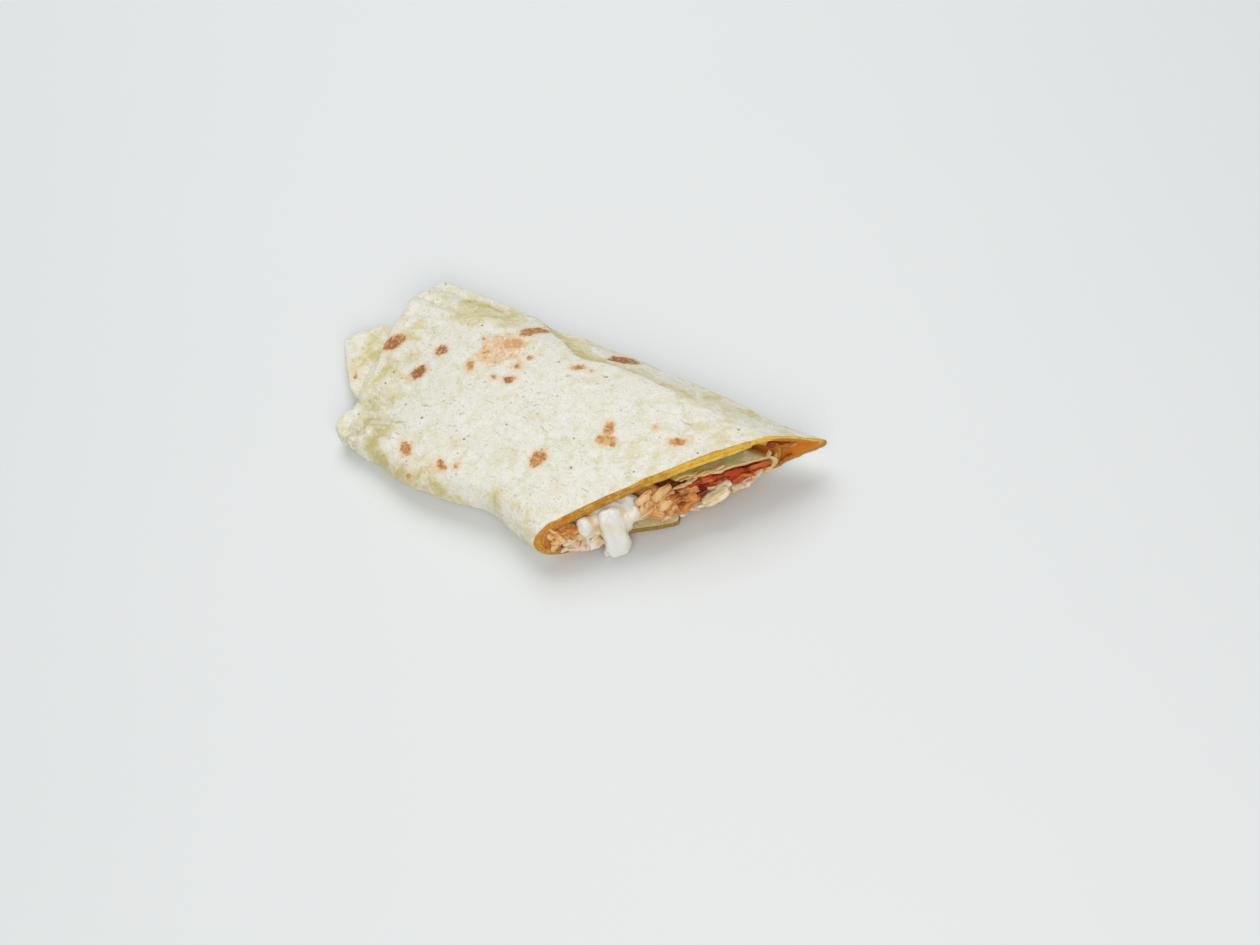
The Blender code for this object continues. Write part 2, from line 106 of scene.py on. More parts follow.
def plan(along, across):
    """Place in plan: straight lines between the parcel's four corners, with the tucked end
    bowed out, a waist in the short side and a dip in the ridge by the tip."""
    side = np.clip(across / across_all, -0.2, 1.2)[..., None]
    along = np.broadcast_to(along, across.shape)[..., None]
    back = front_end + (back_end - front_end) * side
    point = back + (front_cut + (tip - front_cut) * side - back) * along
    bow = np.clip(4 * side * (1 - side), 0, 1) ** 0.6
    waist = np.exp(-(((along - 0.72) / 0.16) ** 2)) - 0.5 * np.exp(-(((along - 0.3) / 0.14) ** 2))
    dip = np.exp(-(((along - 0.88) / 0.08) ** 2)) * side**4
    point[..., 0:1] -= end_bulge * bow * (1 - along) ** 2
    point[..., 1:2] += waist_depth * waist * (1 - side) ** 2 - ridge_dip * dip
    return point


def stacked(flat, full, along):
    """A layer's height between lying flat on those below and its place at the cut."""
    return flat + (full - flat) * curve(swell_knots, along)


def bottom_outer(across, along):
    """Middle height of the layer the roll lies on: it climbs over the seam's free edge."""
    flat = sheet / 2 + pitch * ease(40 * mm, 49 * mm, across)
    return stacked(flat, flat + curve(under_fold, across), along)


def bottom_inner(across, along):
    """Middle height of the layer on that one, under the filling."""
    return bottom_outer(across, along) + pitch - pressed * ease(0.55, 0.95, along)


def top_outer(across, along):
    """Middle height of the outermost layer, which lies on three to five others at the end."""
    layers = pitch * (3 + ease(40 * mm, 49 * mm, across) + ease(30 * mm, 38 * mm, across))
    beyond = ease(inner_fold + 2 * mm, tip_fold, across)
    flat = sheet / 2 + layers * (1 - beyond) + 3.5 * pitch * beyond
    return stacked(flat, curve(crest, across) - sheet / 2, along)


def top_second(across, along):
    """Middle height of the layer under the outermost one."""
    return top_outer(across, along) - pitch + pressed * ease(0.55, 0.95, along)


def top_inner(across, along):
    """Middle height of the inner free flap, which sags away from the layer over it."""
    below = curve(layer_gap, across) * curve(swell_knots, along) + pressed * ease(0.55, 0.95, along)
    return top_second(across, along) - pitch - below


def seam_flap(across, along):
    """Middle height of the last pass, from the tip back under the roll to the seam."""
    flat = sheet / 2 + 2.1 * pitch * ease(inner_fold, tip_fold, across)
    return stacked(flat, sheet / 2 + curve(under_tip, across), along)


def layer(height_of, start, end, count, along):
    """One pass of the sheet from start to end across the roll, at the height that height_of gives."""
    across = start + (end - start) * np.linspace(0, 1, count) * np.ones_like(along)
    return np.stack((across, height_of(across, along)), axis=-1)


def folded(edge, first, second, side, count, along):
    """Half circle that turns the sheet from one pass to the next at the across distance edge."""
    edge = edge * np.ones_like(along)
    high, low = first(edge, along), second(edge, along)
    angle = np.linspace(0, math.pi, count + 2)[1:-1]
    radius = (high - low) / 2
    out = side * abs(radius) * np.sin(angle)
    return np.stack((edge + out, (high + low) / 2 + radius * np.cos(angle)), axis=-1)


def left_of(along):
    """Where the layers turn at the short side: the outer fold's radius, so that it ends at 0."""
    edge = left_fold * np.ones_like(along)
    return (top_outer(edge, along) - bottom_outer(edge, along)) / 2


def smoothed(path, reach=2):
    """Moving average along the path, so that the sheet turns gently into its folds."""
    padded = np.pad(path, ((0, 0), (reach, reach), (0, 0)), mode="edge")
    return sum(padded[:, i:i + path.shape[1]] for i in range(2 * reach + 1)) / (2 * reach + 1)


def evened(values, reach):
    """Moving average over reach values to either side."""
    window = 2 * reach + 1
    return np.convolve(np.pad(values, reach, mode="edge"), np.ones(window) / window, mode="valid")


# The runs of the sheet's section, in order from the inner free edge out to the seam
(free_flap, flap_turn, lower_lip, left_turn, second_layer, right_turn,
 underside, outer_turn, top_layer, tip_turn, seam_layer) = range(11)


def rolled_path(along):
    """Middle line of the sheet in section at each station, from the inner free end out to the
    seam, with how far each pass pokes out of the cut and which points lie on the outer turn."""
    left = left_of(along)
    runs = (
        (layer(top_inner, inner_end, inner_fold, 26, along), 3.0, 0),
        (folded(inner_fold, top_inner, bottom_inner, 1, 12, along), 2.6, 0),
        (layer(bottom_inner, inner_fold, left, 34, along), 2.6, 0),
        (folded(left, bottom_inner, top_second, -1, 16, along), 1.6, 0),
        (layer(top_second, left, inner_fold, 40, along), 0.25, 0),
        (folded(inner_fold, top_second, bottom_outer, 1, 20, along), -0.8, 0),
        (layer(bottom_outer, inner_fold, left, 38, along), 1.2, 1),
        (folded(left, bottom_outer, top_outer, -1, 30, along), 0.8, 1),
        (layer(top_outer, left, tip_fold, 112, along), 0.0, 1),
        (folded(tip_fold, top_outer, seam_flap, 1, 8, along), 0.0, 1),
        (layer(seam_flap, tip_fold, seam_end, 26, along), 0.4, 1),
    )
    path = smoothed(np.concatenate([run for run, _, _ in runs], axis=1))
    sizes = [run.shape[1] for run, _, _ in runs]
    poke = np.repeat([poke for _, poke, _ in runs], sizes) * mm
    poke = evened(poke, 6)
    which = np.repeat(np.arange(len(runs)), sizes)
    across = path[-1, :, 0]
    poke += np.where(which == lower_lip, curve(tongue_reach, across), 0)
    poke -= np.where((which == underside) | (which == seam_layer), curve(undercut, across), 0)
    poke *= 1 - 0.9 * (which == free_flap) * ease(48 * mm, 38 * mm, across)
    place = np.stack((across, which * 31.0 * mm, 0 * across), axis=-1)
    torn = 0.16 + 0.4 * (which <= flap_turn) + 0.9 * (which == right_turn) + 0.5 * (which > top_layer)
    poke += torn * mm * waves(place, 5 * mm, 15)
    outer = np.repeat([outer for _, _, outer in runs], sizes)
    return path, poke, outer, which


def settled(points):
    """Soft food is never true: the roll sinks and swells a little, the same for all it holds."""
    flat = points * (1, 1, 0)
    height = points[..., 2]
    points = points.copy()
    points[..., 2] += 0.55 * mm * waves(flat, 42 * mm, 4) * ease(2 * mm, 14 * mm, height)
    points[..., 1] += 0.5 * mm * waves(flat, 55 * mm, 5) * ease(1 * mm, 8 * mm, height)
    return points


# Toast marks of the griddle: x, y, z, length, width in mm, turn in degrees, how dark
toast_marks = (
    (-69.5, 2.6, 13.2, 10.0, 5.8, 50, 0.72), (-47.7, 5.5, 19.1, 5.0, 4.8, 40, 0.85),
    (-50.5, -4.8, 16.3, 6.8, 4.9, 52, 0.92), (-32.5, 3.7, 21.1, 4.6, 3.2, -52, 0.42),
    (-24.2, 27.4, 19.2, 8.8, 6.2, 88, 0.62), (-22.8, 31.2, 17.6, 7.2, 5.4, 50, 0.66),
    (-14.5, 15.6, 23.4, 2.2, 1.8, 26, 0.5), (-15.3, 10.3, 23.5, 3.8, 2.2, -50, 0.42),
    (-14.2, 4.1, 23.1, 4.3, 3.5, 24, 0.82), (-20.6, 2.8, 22.3, 2.2, 1.8, 0, 0.75),
    (-35.1, 15.7, 21.4, 1.9, 1.5, 0, 0.5), (-12.2, 19.4, 23.6, 1.8, 1.3, 30, 0.55),
    (-30.6, 11.0, 21.9, 3.0, 1.8, 40, 0.3), (4.7, 19.7, 24.1, 4.8, 3.0, 30, 0.36),
    (-33.4, 8.2, 21.4, 1.5, 1.0, 20, 0.5), (-31.8, 18.8, 21.6, 1.6, 1.1, 60, 0.4),
    (-19.4, 21.4, 22.8, 1.7, 1.1, 40, 0.5), (-17.6, 16.4, 23.1, 1.6, 1.0, 80, 0.55),
    (-18.6, 13.2, 23.0, 1.4, 1.0, 70, 0.5), (-23.8, 8.6, 22.4, 1.6, 1.0, 10, 0.45),
    (-28.4, 21.6, 21.8, 1.4, 1.0, 0, 0.4), (-27.2, 7.4, 21.9, 1.3, 0.9, 30, 0.5),
    (9.4, 20.6, 24.2, 1.3, 1.2, 0, 0.3), (11.4, 35.4, 17.0, 11.6, 6.6, 34, 0.95),
    (14.7, -17.9, 21.1, 7.4, 5.0, 92, 0.42), (15.6, -16.4, 21.3, 4.6, 3.4, -13, 0.42),
    (30.8, 2.6, 25.1, 6.6, 3.8, -60, 0.36), (33.4, -1.6, 24.7, 6.0, 4.4, 30, 0.26),
    (30.4, -2.4, 24.6, 3.4, 3.0, 70, 0.4), (35.6, -2.4, 24.7, 2.6, 2.2, 0, 0.5),
    (44.8, 10.3, 26.0, 2.4, 2.0, 28, 0.32), (54.9, 9.0, 25.9, 6.6, 3.6, 40, 0.38),
    (-32.8, -34.2, 15.0, 7.6, 3.6, -30, 0.42), (-16.8, -34.2, 16.4, 5.8, 2.8, -32, 0.56),
    (-15.0, -35.0, 15.6, 3.4, 2.6, 30, 0.36), (-10.9, -32.5, 17.2, 3.2, 1.7, 98, 0.5),
    (-26.7, -41.4, 11.0, 2.2, 1.5, 0, 0.45), (-22.7, -43.6, 8.0, 2.2, 1.4, 0, 0.5),
    (-76.6, -13.0, 7.0, 3.2, 2.0, -50, 0.55),
    (-40.0, 41.0, 8.0, 9.0, 5.0, 10, 0.8), (48.0, 42.0, 11.0, 8.0, 4.0, 0, 0.6),
    (-8.0, 41.0, 7.0, 5.0, 3.0, 0, 0.5), (-30.0, 12.0, 0.0, 15.0, 9.0, 20, 0.6),
    (2.0, -14.0, 0.0, 12.0, 8.0, -30, 0.7), (20.0, 8.0, 0.0, 9.0, 6.0, 50, 0.5),
    (-46.0, -12.0, 0.0, 8.0, 6.0, 0, 0.5), (28.0, 26.0, 1.5, 14.0, 6.0, 10, 0.5),
    (-20.0, 30.0, 1.0, 8.0, 5.0, 0, 0.5), (12.0, -30.0, 0.0, 7.0, 4.0, 15, 0.5),
    (-12.0, -4.0, 0.0, 5.0, 4.0, 0, 0.4), (52.0, 33.0, 5.0, 7.0, 5.0, 0, 0.4),
)
# Wide faint browning, with a softer edge: x, y, z, length, width, turn, strength
blushes = (
    (-26.6, 14.2, 22.0, 19.5, 16.0, 66, 0.78), (-24.2, 18.4, 22.3, 10.5, 8.5, 51, 1.4),
    (31.5, 0.4, 24.9, 9.0, 6.0, -60, 0.5), (-17.5, 9.0, 23.4, 7.0, 5.0, 0, 0.45),
    (-20.0, -37.0, 14.0, 9.0, 6.0, 0, 0.4), (-33.6, -36.8, 13.5, 6.0, 5.0, 0, 0.4),
    (-60.5, 27.5, 14.0, 5.0, 3.5, 40, 0.5), (-10.0, 33.2, 19.0, 8.0, 2.6, -24, 0.4),
    (-30.0, 10.0, 0.0, 26.0, 18.0, 20, 0.6), (10.0, -12.0, 0.0, 28.0, 16.0, -30, 0.6),
)
# Olive places: thin places where fat has soaked through, and painted shade along the valley past the top
# panel's edge and on the far side of the roll: x, y, z, length, width, turn, strength
olive_and_shade_places = (
    (-45.0, 30.0, 16.0, 30.0, 15.0, 4, 0.78), (-47.5, 22.0, 18.6, 17.0, 9.0, 14, 0.7),
    (-36.5, 28.5, 18.0, 10.0, 13.0, 0, 0.75), (-67.6, 29.0, 11.0, 9.0, 6.0, 0, 0.35),
    # The next seven rows lie along the top panel's edge and the far side of the roll: painted shade, tinted
    # olive
    (-11.4, 35.6, 15.5, 20.0, 5.5, -20, 0.75), (-3.5, 28.6, 20.0, 13.0, 4.0, -16, 0.95),
    (5.5, 27.2, 21.0, 12.0, 4.0, 8, 0.8), (17.0, 29.2, 20.5, 16.0, 4.0, 6, 0.75),
    (-25.0, 38.5, 11.0, 26.0, 5.0, -8, 0.8),
    (33.0, 29.6, 21.5, 15.0, 4.5, 8, 0.8), (44.0, 29.0, 22.0, 10.0, 5.0, -30, 0.85),
    (49.5, 35.5, 18.0, 11.0, 4.5, 62, 0.8), (61.0, 36.5, 19.0, 16.0, 5.0, 12, 0.6),
    (75.0, 38.8, 18.5, 16.0, 4.0, 8, 0.5), (20.0, 33.0, 19.0, 14.0, 4.0, 10, 0.55),
    (8.0, 40.0, 10.0, 40.0, 7.0, 4, 0.7), (52.0, 42.5, 10.0, 40.0, 6.0, 4, 0.7),
    (-77.0, -3.5, 8.0, 17.0, 7.0, 58, 1.0), (-82.0, 6.0, 8.0, 9.0, 5.0, 20, 0.45),
    (-64.0, -8.6, 11.6, 9.0, 6.0, 40, 0.8), (-58.9, -0.7, 15.0, 6.0, 4.0, 0, 0.45),
    (-63.0, 6.4, 14.4, 7.0, 3.5, 10, 0.7), (-57.0, -20.0, 12.0, 18.0, 11.0, 30, 0.38),
    (-59.5, -8.0, 13.0, 23.0, 16.0, 40, 0.34), (-66.0, 12.0, 11.0, 12.0, 8.0, 20, 0.22),
    (-47.0, -30.4, 14.0, 13.0, 5.0, 12, 0.85), (-47.6, -36.0, 11.0, 10.0, 7.0, -30, 0.8),
    (-41.5, -40.0, 8.0, 13.0, 6.0, -24, 0.9), (-30.0, -41.0, 8.0, 14.0, 5.0, -6, 0.7),
    (-55.0, -27.5, 11.0, 12.0, 5.0, 16, 0.5),
    (-43.5, -17.0, 17.6, 8.0, 5.0, 0, 0.4), (-36.0, -1.0, 20.6, 8.0, 5.0, 30, 0.3),
    (-33.0, 4.7, 21.4, 5.0, 4.0, 0, 0.5), (-18.6, -25.6, 19.6, 5.0, 4.0, 0, 0.5),
    (-18.0, -40.0, 11.0, 17.0, 5.0, 0, 0.7), (-6.0, -41.0, 9.0, 14.0, 4.5, 0, 0.75),
    (9.6, -34.2, 15.6, 12.0, 5.0, 20, 0.55), (20.0, -35.5, 14.5, 13.0, 5.0, -20, 0.4),
    (27.6, -40.0, 9.0, 14.0, 5.0, 0, 0.6), (12.0, -42.0, 6.0, 24.0, 5.0, 0, 0.5),
    (10.0, 12.0, 0.0, 60.0, 14.0, 12, 0.5), (-30.0, -20.0, 0.0, 40.0, 12.0, 0, 0.5),
    # The first place in the next row, low on the far side of the roll, is painted shade tinted olive
    (-48.0, 42.0, 5.0, 40.0, 7.0, 0, 0.7), (-84.0, 20.0, 8.0, 10.0, 6.0, 60, 0.5),
)
# Creases pressed in by folding: from x, y to x, y, width and depth, in mm
creases = (
    (-60.0, -37.4, -54.6, -33.8, 1.2, 1.3), (-54.8, -34.2, -55.6, -28.0, 1.2, 1.3),
    (-59.5, -29.6, -41.4, -24.6, 1.2, 0.9), (-54.6, -30.8, -43.8, -26.9, 1.1, 0.9),
    (-51.8, -33.2, -41.2, -33.4, 1.1, 0.7), (-48.0, -29.6, -38.0, -26.6, 1.0, 0.6),
    (-68.4, -5.7, -59.7, -2.0, 1.2, 0.6), (-66.0, -17.0, -52.0, -20.5, 1.4, 0.6),
    (-70.5, -22.0, -56.0, -24.5, 1.5, 0.7), (-74.0, 9.0, -60.0, 13.5, 1.6, 0.45),
    (-76.0, 24.0, -52.0, 24.5, 1.8, 0.5), (-72.0, 17.0, -58.0, 18.5, 1.4, 0.45),
    (-66.0, 33.0, -40.0, 34.6, 1.6, 0.5), (2.0, -34.0, 26.0, -31.0, 2.0, 0.3),
    (-8.4, 33.0, 12.0, 33.6, 1.2, 0.4),
)
# The edge of the top panel, where one fold ends on the next: along X, and its place in Y
panel_edge = np.array(((-34, 34.5), (-31.9, 34.6), (-26.3, 36.5), (-19.9, 34.3), (-14.1, 30.9),
                       (-6, 27.2), (-0.4, 25.2), (4.3, 25.2), (13.3, 27.1), (20.3, 28.2),
                       (28.7, 28.5), (38.9, 27.7), (47.8, 26.1), (52, 26))) * mm


def near_places(points, places, softness):
    """How far inside the nearest of some oval places each point lies, in mm, and that place's
    last value. Each oval is a spheroid about its own length, with offsets in height halved, so
    it wraps over an edge."""
    best = np.full(points.shape[:-1], -99.0)
    value = np.zeros(points.shape[:-1])
    for x, y, z, length, width, turn, strength in places:
        offset = (points / mm - np.array((x, y, z))) * (1, 1, 0.5)
        axis = np.array((math.cos(math.radians(turn)), math.sin(math.radians(turn)), 0.0))
        forward = offset @ axis
        beside = np.sqrt(np.maximum((offset**2).sum(axis=-1) - forward**2, 0))
        inside = (1 - np.sqrt((2 * forward / length) ** 2 + (2 * beside / width) ** 2)) * width / 2
        value = np.where(inside > best, strength, value)
        best = np.maximum(best, inside)
    return np.maximum(best, -softness), value


def soft_spots(points, places, low, high):
    """The strongest of some soft ovals at each point, rising from low to high mm inside each."""
    field = np.zeros(points.shape[:-1])
    for place in places:
        inside, _ = near_places(points, (place,), 99)
        field = np.maximum(field, place[-1] * ease(low, high, inside))
    return field


def beyond_panel(points):
    """How far past the top panel's edge each point lies, and a share that is 1 along the edge
    and fades out at its two ends and low down."""
    x, y = points[..., 0], points[..., 1]
    past = y - curve(panel_edge, x) - 0.5 * mm * waves(points * (1, 0, 0), 9 * mm, 16)
    ends = ease(-33 * mm, -24 * mm, x) * (1 - 0.55 * ease(4 * mm, 16 * mm, x))
    ends *= 1 - ease(40 * mm, 52 * mm, x)
    return past, ends * (points[..., 2] > 8 * mm)


def crease_valleys(points):
    """Depth in metres of the creases, and the painted shade in them: each is a narrow valley beside a
    wandering straight line, with a low swell to either side, and fades out past its two ends."""
    depth_here, painted_crease_shade = np.zeros(points.shape[:-1]), np.zeros(points.shape[:-1])
    wander = 0.9 * mm * waves(points, 14 * mm, 14)
    for x0, y0, x1, y1, width, depth in creases:
        start, end = np.array((x0, y0)) * mm, np.array((x1, y1)) * mm
        run = end - start
        offset = points[..., :2] - start
        t = (offset @ run) / (run @ run)
        beside = (offset[..., 0] * run[1] - offset[..., 1] * run[0]) / np.linalg.norm(run) + wander
        fade = ease(-0.15, 0.15, t) * (1 - ease(0.85, 1.15, t)) * ease(4 * mm, 7 * mm, points[..., 2])
        side = beside / (width * mm)
        valley = np.exp(-side**2)
        depth_here += 1.7 * depth * mm * fade * (valley - 0.45 * np.exp(-((np.abs(side) - 1.7) ** 2)))
        # painted shade, darkest along the middle of each crease and deeper with its depth
        painted_crease_shade = np.maximum(painted_crease_shade, depth * fade * valley**2)
    return depth_here, painted_crease_shade


def skin_relief(points):
    """Height of the griddled skin over its smooth form, in metres: slack swells, small blisters
    that only rise, the step down past the top panel, and the creases."""
    relief = 0.2 * mm * waves(points, 17 * mm, 11) + 0.1 * mm * waves(points, 7 * mm, 12)
    relief += 0.16 * mm * np.clip(waves(points, 5 * mm, 13) - 0.5, 0, 1) ** 1.3
    past, ends = beyond_panel(points)
    step = ease(-0.5 * mm, 0.9 * mm, past) * (1 - ease(3 * mm, 11 * mm, past))
    lip = np.exp(-(((past + 1.1 * mm) / (1.1 * mm)) ** 2))
    return relief + ends * (0.25 * mm * lip - 1.1 * mm * step) - crease_valleys(points)[0]


def grid_faces(rows, columns, wrap):
    """Corner numbers of the quads of a grid of rows and columns, closed round the columns if wrap."""
    row = np.arange(rows - 1)[:, None]
    column = np.arange(columns if wrap else columns - 1)[None]
    after = (column + 1) % columns
    corners = (row * columns + column, row * columns + after,
               (row + 1) * columns + after, (row + 1) * columns + column)
    return np.stack(np.broadcast_arrays(*corners), axis=-1).reshape(-1, 4)


def end_fans(rows, columns):
    """Triangles that close a grid's first and last row round two hubs numbered next after it."""
    number, last, hub = np.arange(columns), (rows - 1) * columns, rows * columns
    low = np.stack((np.roll(number, -1), number, np.full(columns, hub)), axis=-1)
    high = np.stack((last + number, last + np.roll(number, -1), np.full(columns, hub + 1)), axis=-1)
    return np.concatenate((low, high))


def outward_of(grid, row, column):
    """Unit normals of a grid of points, turned so that the one at row and column points up."""
    out = np.cross(np.gradient(grid, axis=1), np.gradient(grid, axis=0))
    out /= np.linalg.norm(out, axis=-1)[..., None] + 1e-12
    return out * np.sign(out[row, column, 2])


def food_piece(name, points, quads, triangles, materials, fields, slot, *nodes, second=None):
    """Puts points and faces into a smooth mesh with its fields, turned outwards by the sign of its volume,
    and hides the solids that the piece stands for."""
    points = np.asarray(points, float).reshape(-1, 3)
    fan = np.concatenate((quads[:, [0, 1, 2]], quads[:, [0, 2, 3]], triangles))
    if np.linalg.det(points[fan]).sum() < 0:
        quads, triangles = quads[:, ::-1], triangles[:, ::-1]
    mesh = bpy.data.meshes.new(name)
    mesh.vertices.add(len(points))
    mesh.vertices.foreach_set("co", points.ravel())
    corners = np.concatenate((quads.ravel(), triangles.ravel())).astype(np.int32)
    starts = np.concatenate((np.arange(len(quads)) * 4, len(quads) * 4 + np.arange(len(triangles)) * 3))
    mesh.loops.add(len(corners))
    mesh.loops.foreach_set("vertex_index", corners)
    mesh.polygons.add(len(starts))
    mesh.polygons.foreach_set("loop_start", starts.astype(np.int32))
    mesh.update(calc_edges=True)
    mesh.polygons.foreach_set("use_smooth", np.ones(len(starts), bool))
    for material in materials:
        mesh.materials.append(material)
    if second is not None:
        mesh.polygons.foreach_set("material_index", second.astype(np.int32))
    for key, values in fields.items():
        values = np.asarray(values, np.float32)
        flat = values.ndim == 1 or values.shape[-1] != 3
        field = mesh.attributes.new(key, "FLOAT" if flat else "FLOAT_VECTOR", "POINT")
        field.data.foreach_set("value" if flat else "vector", values.ravel())
    mesh.validate()
    piece = bpy.data.objects.new(name, mesh)
    bpy.context.scene.collection.objects.link(piece)
    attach(piece, "root")
    if nodes:
        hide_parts(*nodes)
    return piece


no_triangles = np.zeros((0, 3), int)


def put(tree, kind, settings=None, **inputs):
    """Adds a shader node. Each input is a number, a colour or another node's output."""
    node = tree.nodes.new("ShaderNode" + kind)
    for key, value in (settings or {}).items():
        setattr(node, key, value)
    for key, value in inputs.items():
        socket = node.inputs[key.replace("_", " ")]
        if isinstance(value, bpy.types.NodeSocket):
            tree.links.new(value, socket)
        else:
            socket.default_value = value
    return node


def reckon(tree, operation, first, second=0.5, third=0.5):
    """One sum on shader numbers."""
    node = tree.nodes.new("ShaderNodeMath")
    node.operation = operation
    for socket, value in zip(node.inputs, (first, second, third)):
        if isinstance(value, bpy.types.NodeSocket):
            tree.links.new(value, socket)
        else:
            socket.default_value = value
    return node.outputs[0]


def step_up(tree, value, low, high):
    """Smooth step on a shader number: 0 at low, 1 at high."""
    node = put(tree, "MapRange", {"interpolation_type": "SMOOTHSTEP"}, Value=value,
               From_Min=low, From_Max=high)
    return node.outputs["Result"]


def tinted(tree, share, first, second):
    """Colour between first and second by share."""
    node = tree.nodes.new("ShaderNodeMix")
    node.data_type = "RGBA"
    for index, value in ((0, share), (6, first), (7, second)):
        if isinstance(value, bpy.types.NodeSocket):
            tree.links.new(value, node.inputs[index])
        elif index == 0:
            node.inputs[0].default_value = value
        else:
            node.inputs[index].default_value = (*value, 1.0)
    return node.outputs[2]


def over(tree, colour, share, strength, shade):
    """A colour with shade laid over it by share times strength."""
    return tinted(tree, reckon(tree, "MULTIPLY", share, strength), colour, shade)


def swayed(tree, value, noise, amount):
    """A shader number moved up and down by a noise about its middle."""
    return reckon(tree, "MULTIPLY_ADD", reckon(tree, "SUBTRACT", noise, 0.5), amount, value)


def flecks(tree, where, scale, size, share):
    """Scattered dots: size across in cells of the scale, in that share of the cells."""
    cells = put(tree, "TexVoronoi", None, Vector=where, Scale=scale)
    chosen = put(tree, "SeparateColor", None, Color=cells.outputs["Color"])
    limit = reckon(tree, "MULTIPLY", reckon(tree, "ADD", chosen.outputs["Green"], 0.5), size)
    near = reckon(tree, "SUBTRACT", cells.outputs["Distance"], limit)
    return reckon(tree, "MULTIPLY", step_up(tree, near, size * 0.25, -size * 0.25),
                  reckon(tree, "LESS_THAN", chosen.outputs["Red"], share))


def grainy(tree, where, scale, detail=3.0, roughness=0.55, distortion=0.0):
    """Fractal noise between 0 and 1 at a scale in features a metre."""
    node = put(tree, "TexNoise", None, Vector=where, Scale=scale, Detail=detail, Roughness=roughness,
               Distortion=distortion)
    return node.outputs["Fac"]


def field_of(tree, name):
    """A field of the mesh, as a shader number."""
    return put(tree, "Attribute", {"attribute_name": name}).outputs["Fac"]


def new_finish(name, roughness, glaze=0.0, depth=0.0, depth_colour=(1.0, 0.6, 0.3)):
    """A material with its shader, the surface's own place, and the shares of glaze and depth."""
    finish = bpy.data.materials.new(name)
    finish.use_nodes = True
    tree = finish.node_tree
    shader = tree.nodes["Principled BSDF"]
    shader.inputs["Roughness"].default_value = roughness
    shader.inputs["Coat Weight"].default_value = glaze
    shader.inputs["Coat Roughness"].default_value = 0.12
    shader.inputs["Subsurface Weight"].default_value = depth
    shader.inputs["Subsurface Radius"].default_value = depth_colour
    shader.inputs["Subsurface Scale"].default_value = 0.0015
    where = tree.nodes.new("ShaderNodeTexCoord").outputs["Object"]
    return finish, tree, shader, where


def bumped(tree, shader, height, strength, distance):
    """Fine relief from a shader number, distance metres high."""
    bump = put(tree, "Bump", None, Strength=strength, Distance=distance, Height=height)
    tree.links.new(bump.outputs["Normal"], shader.inputs["Normal"])


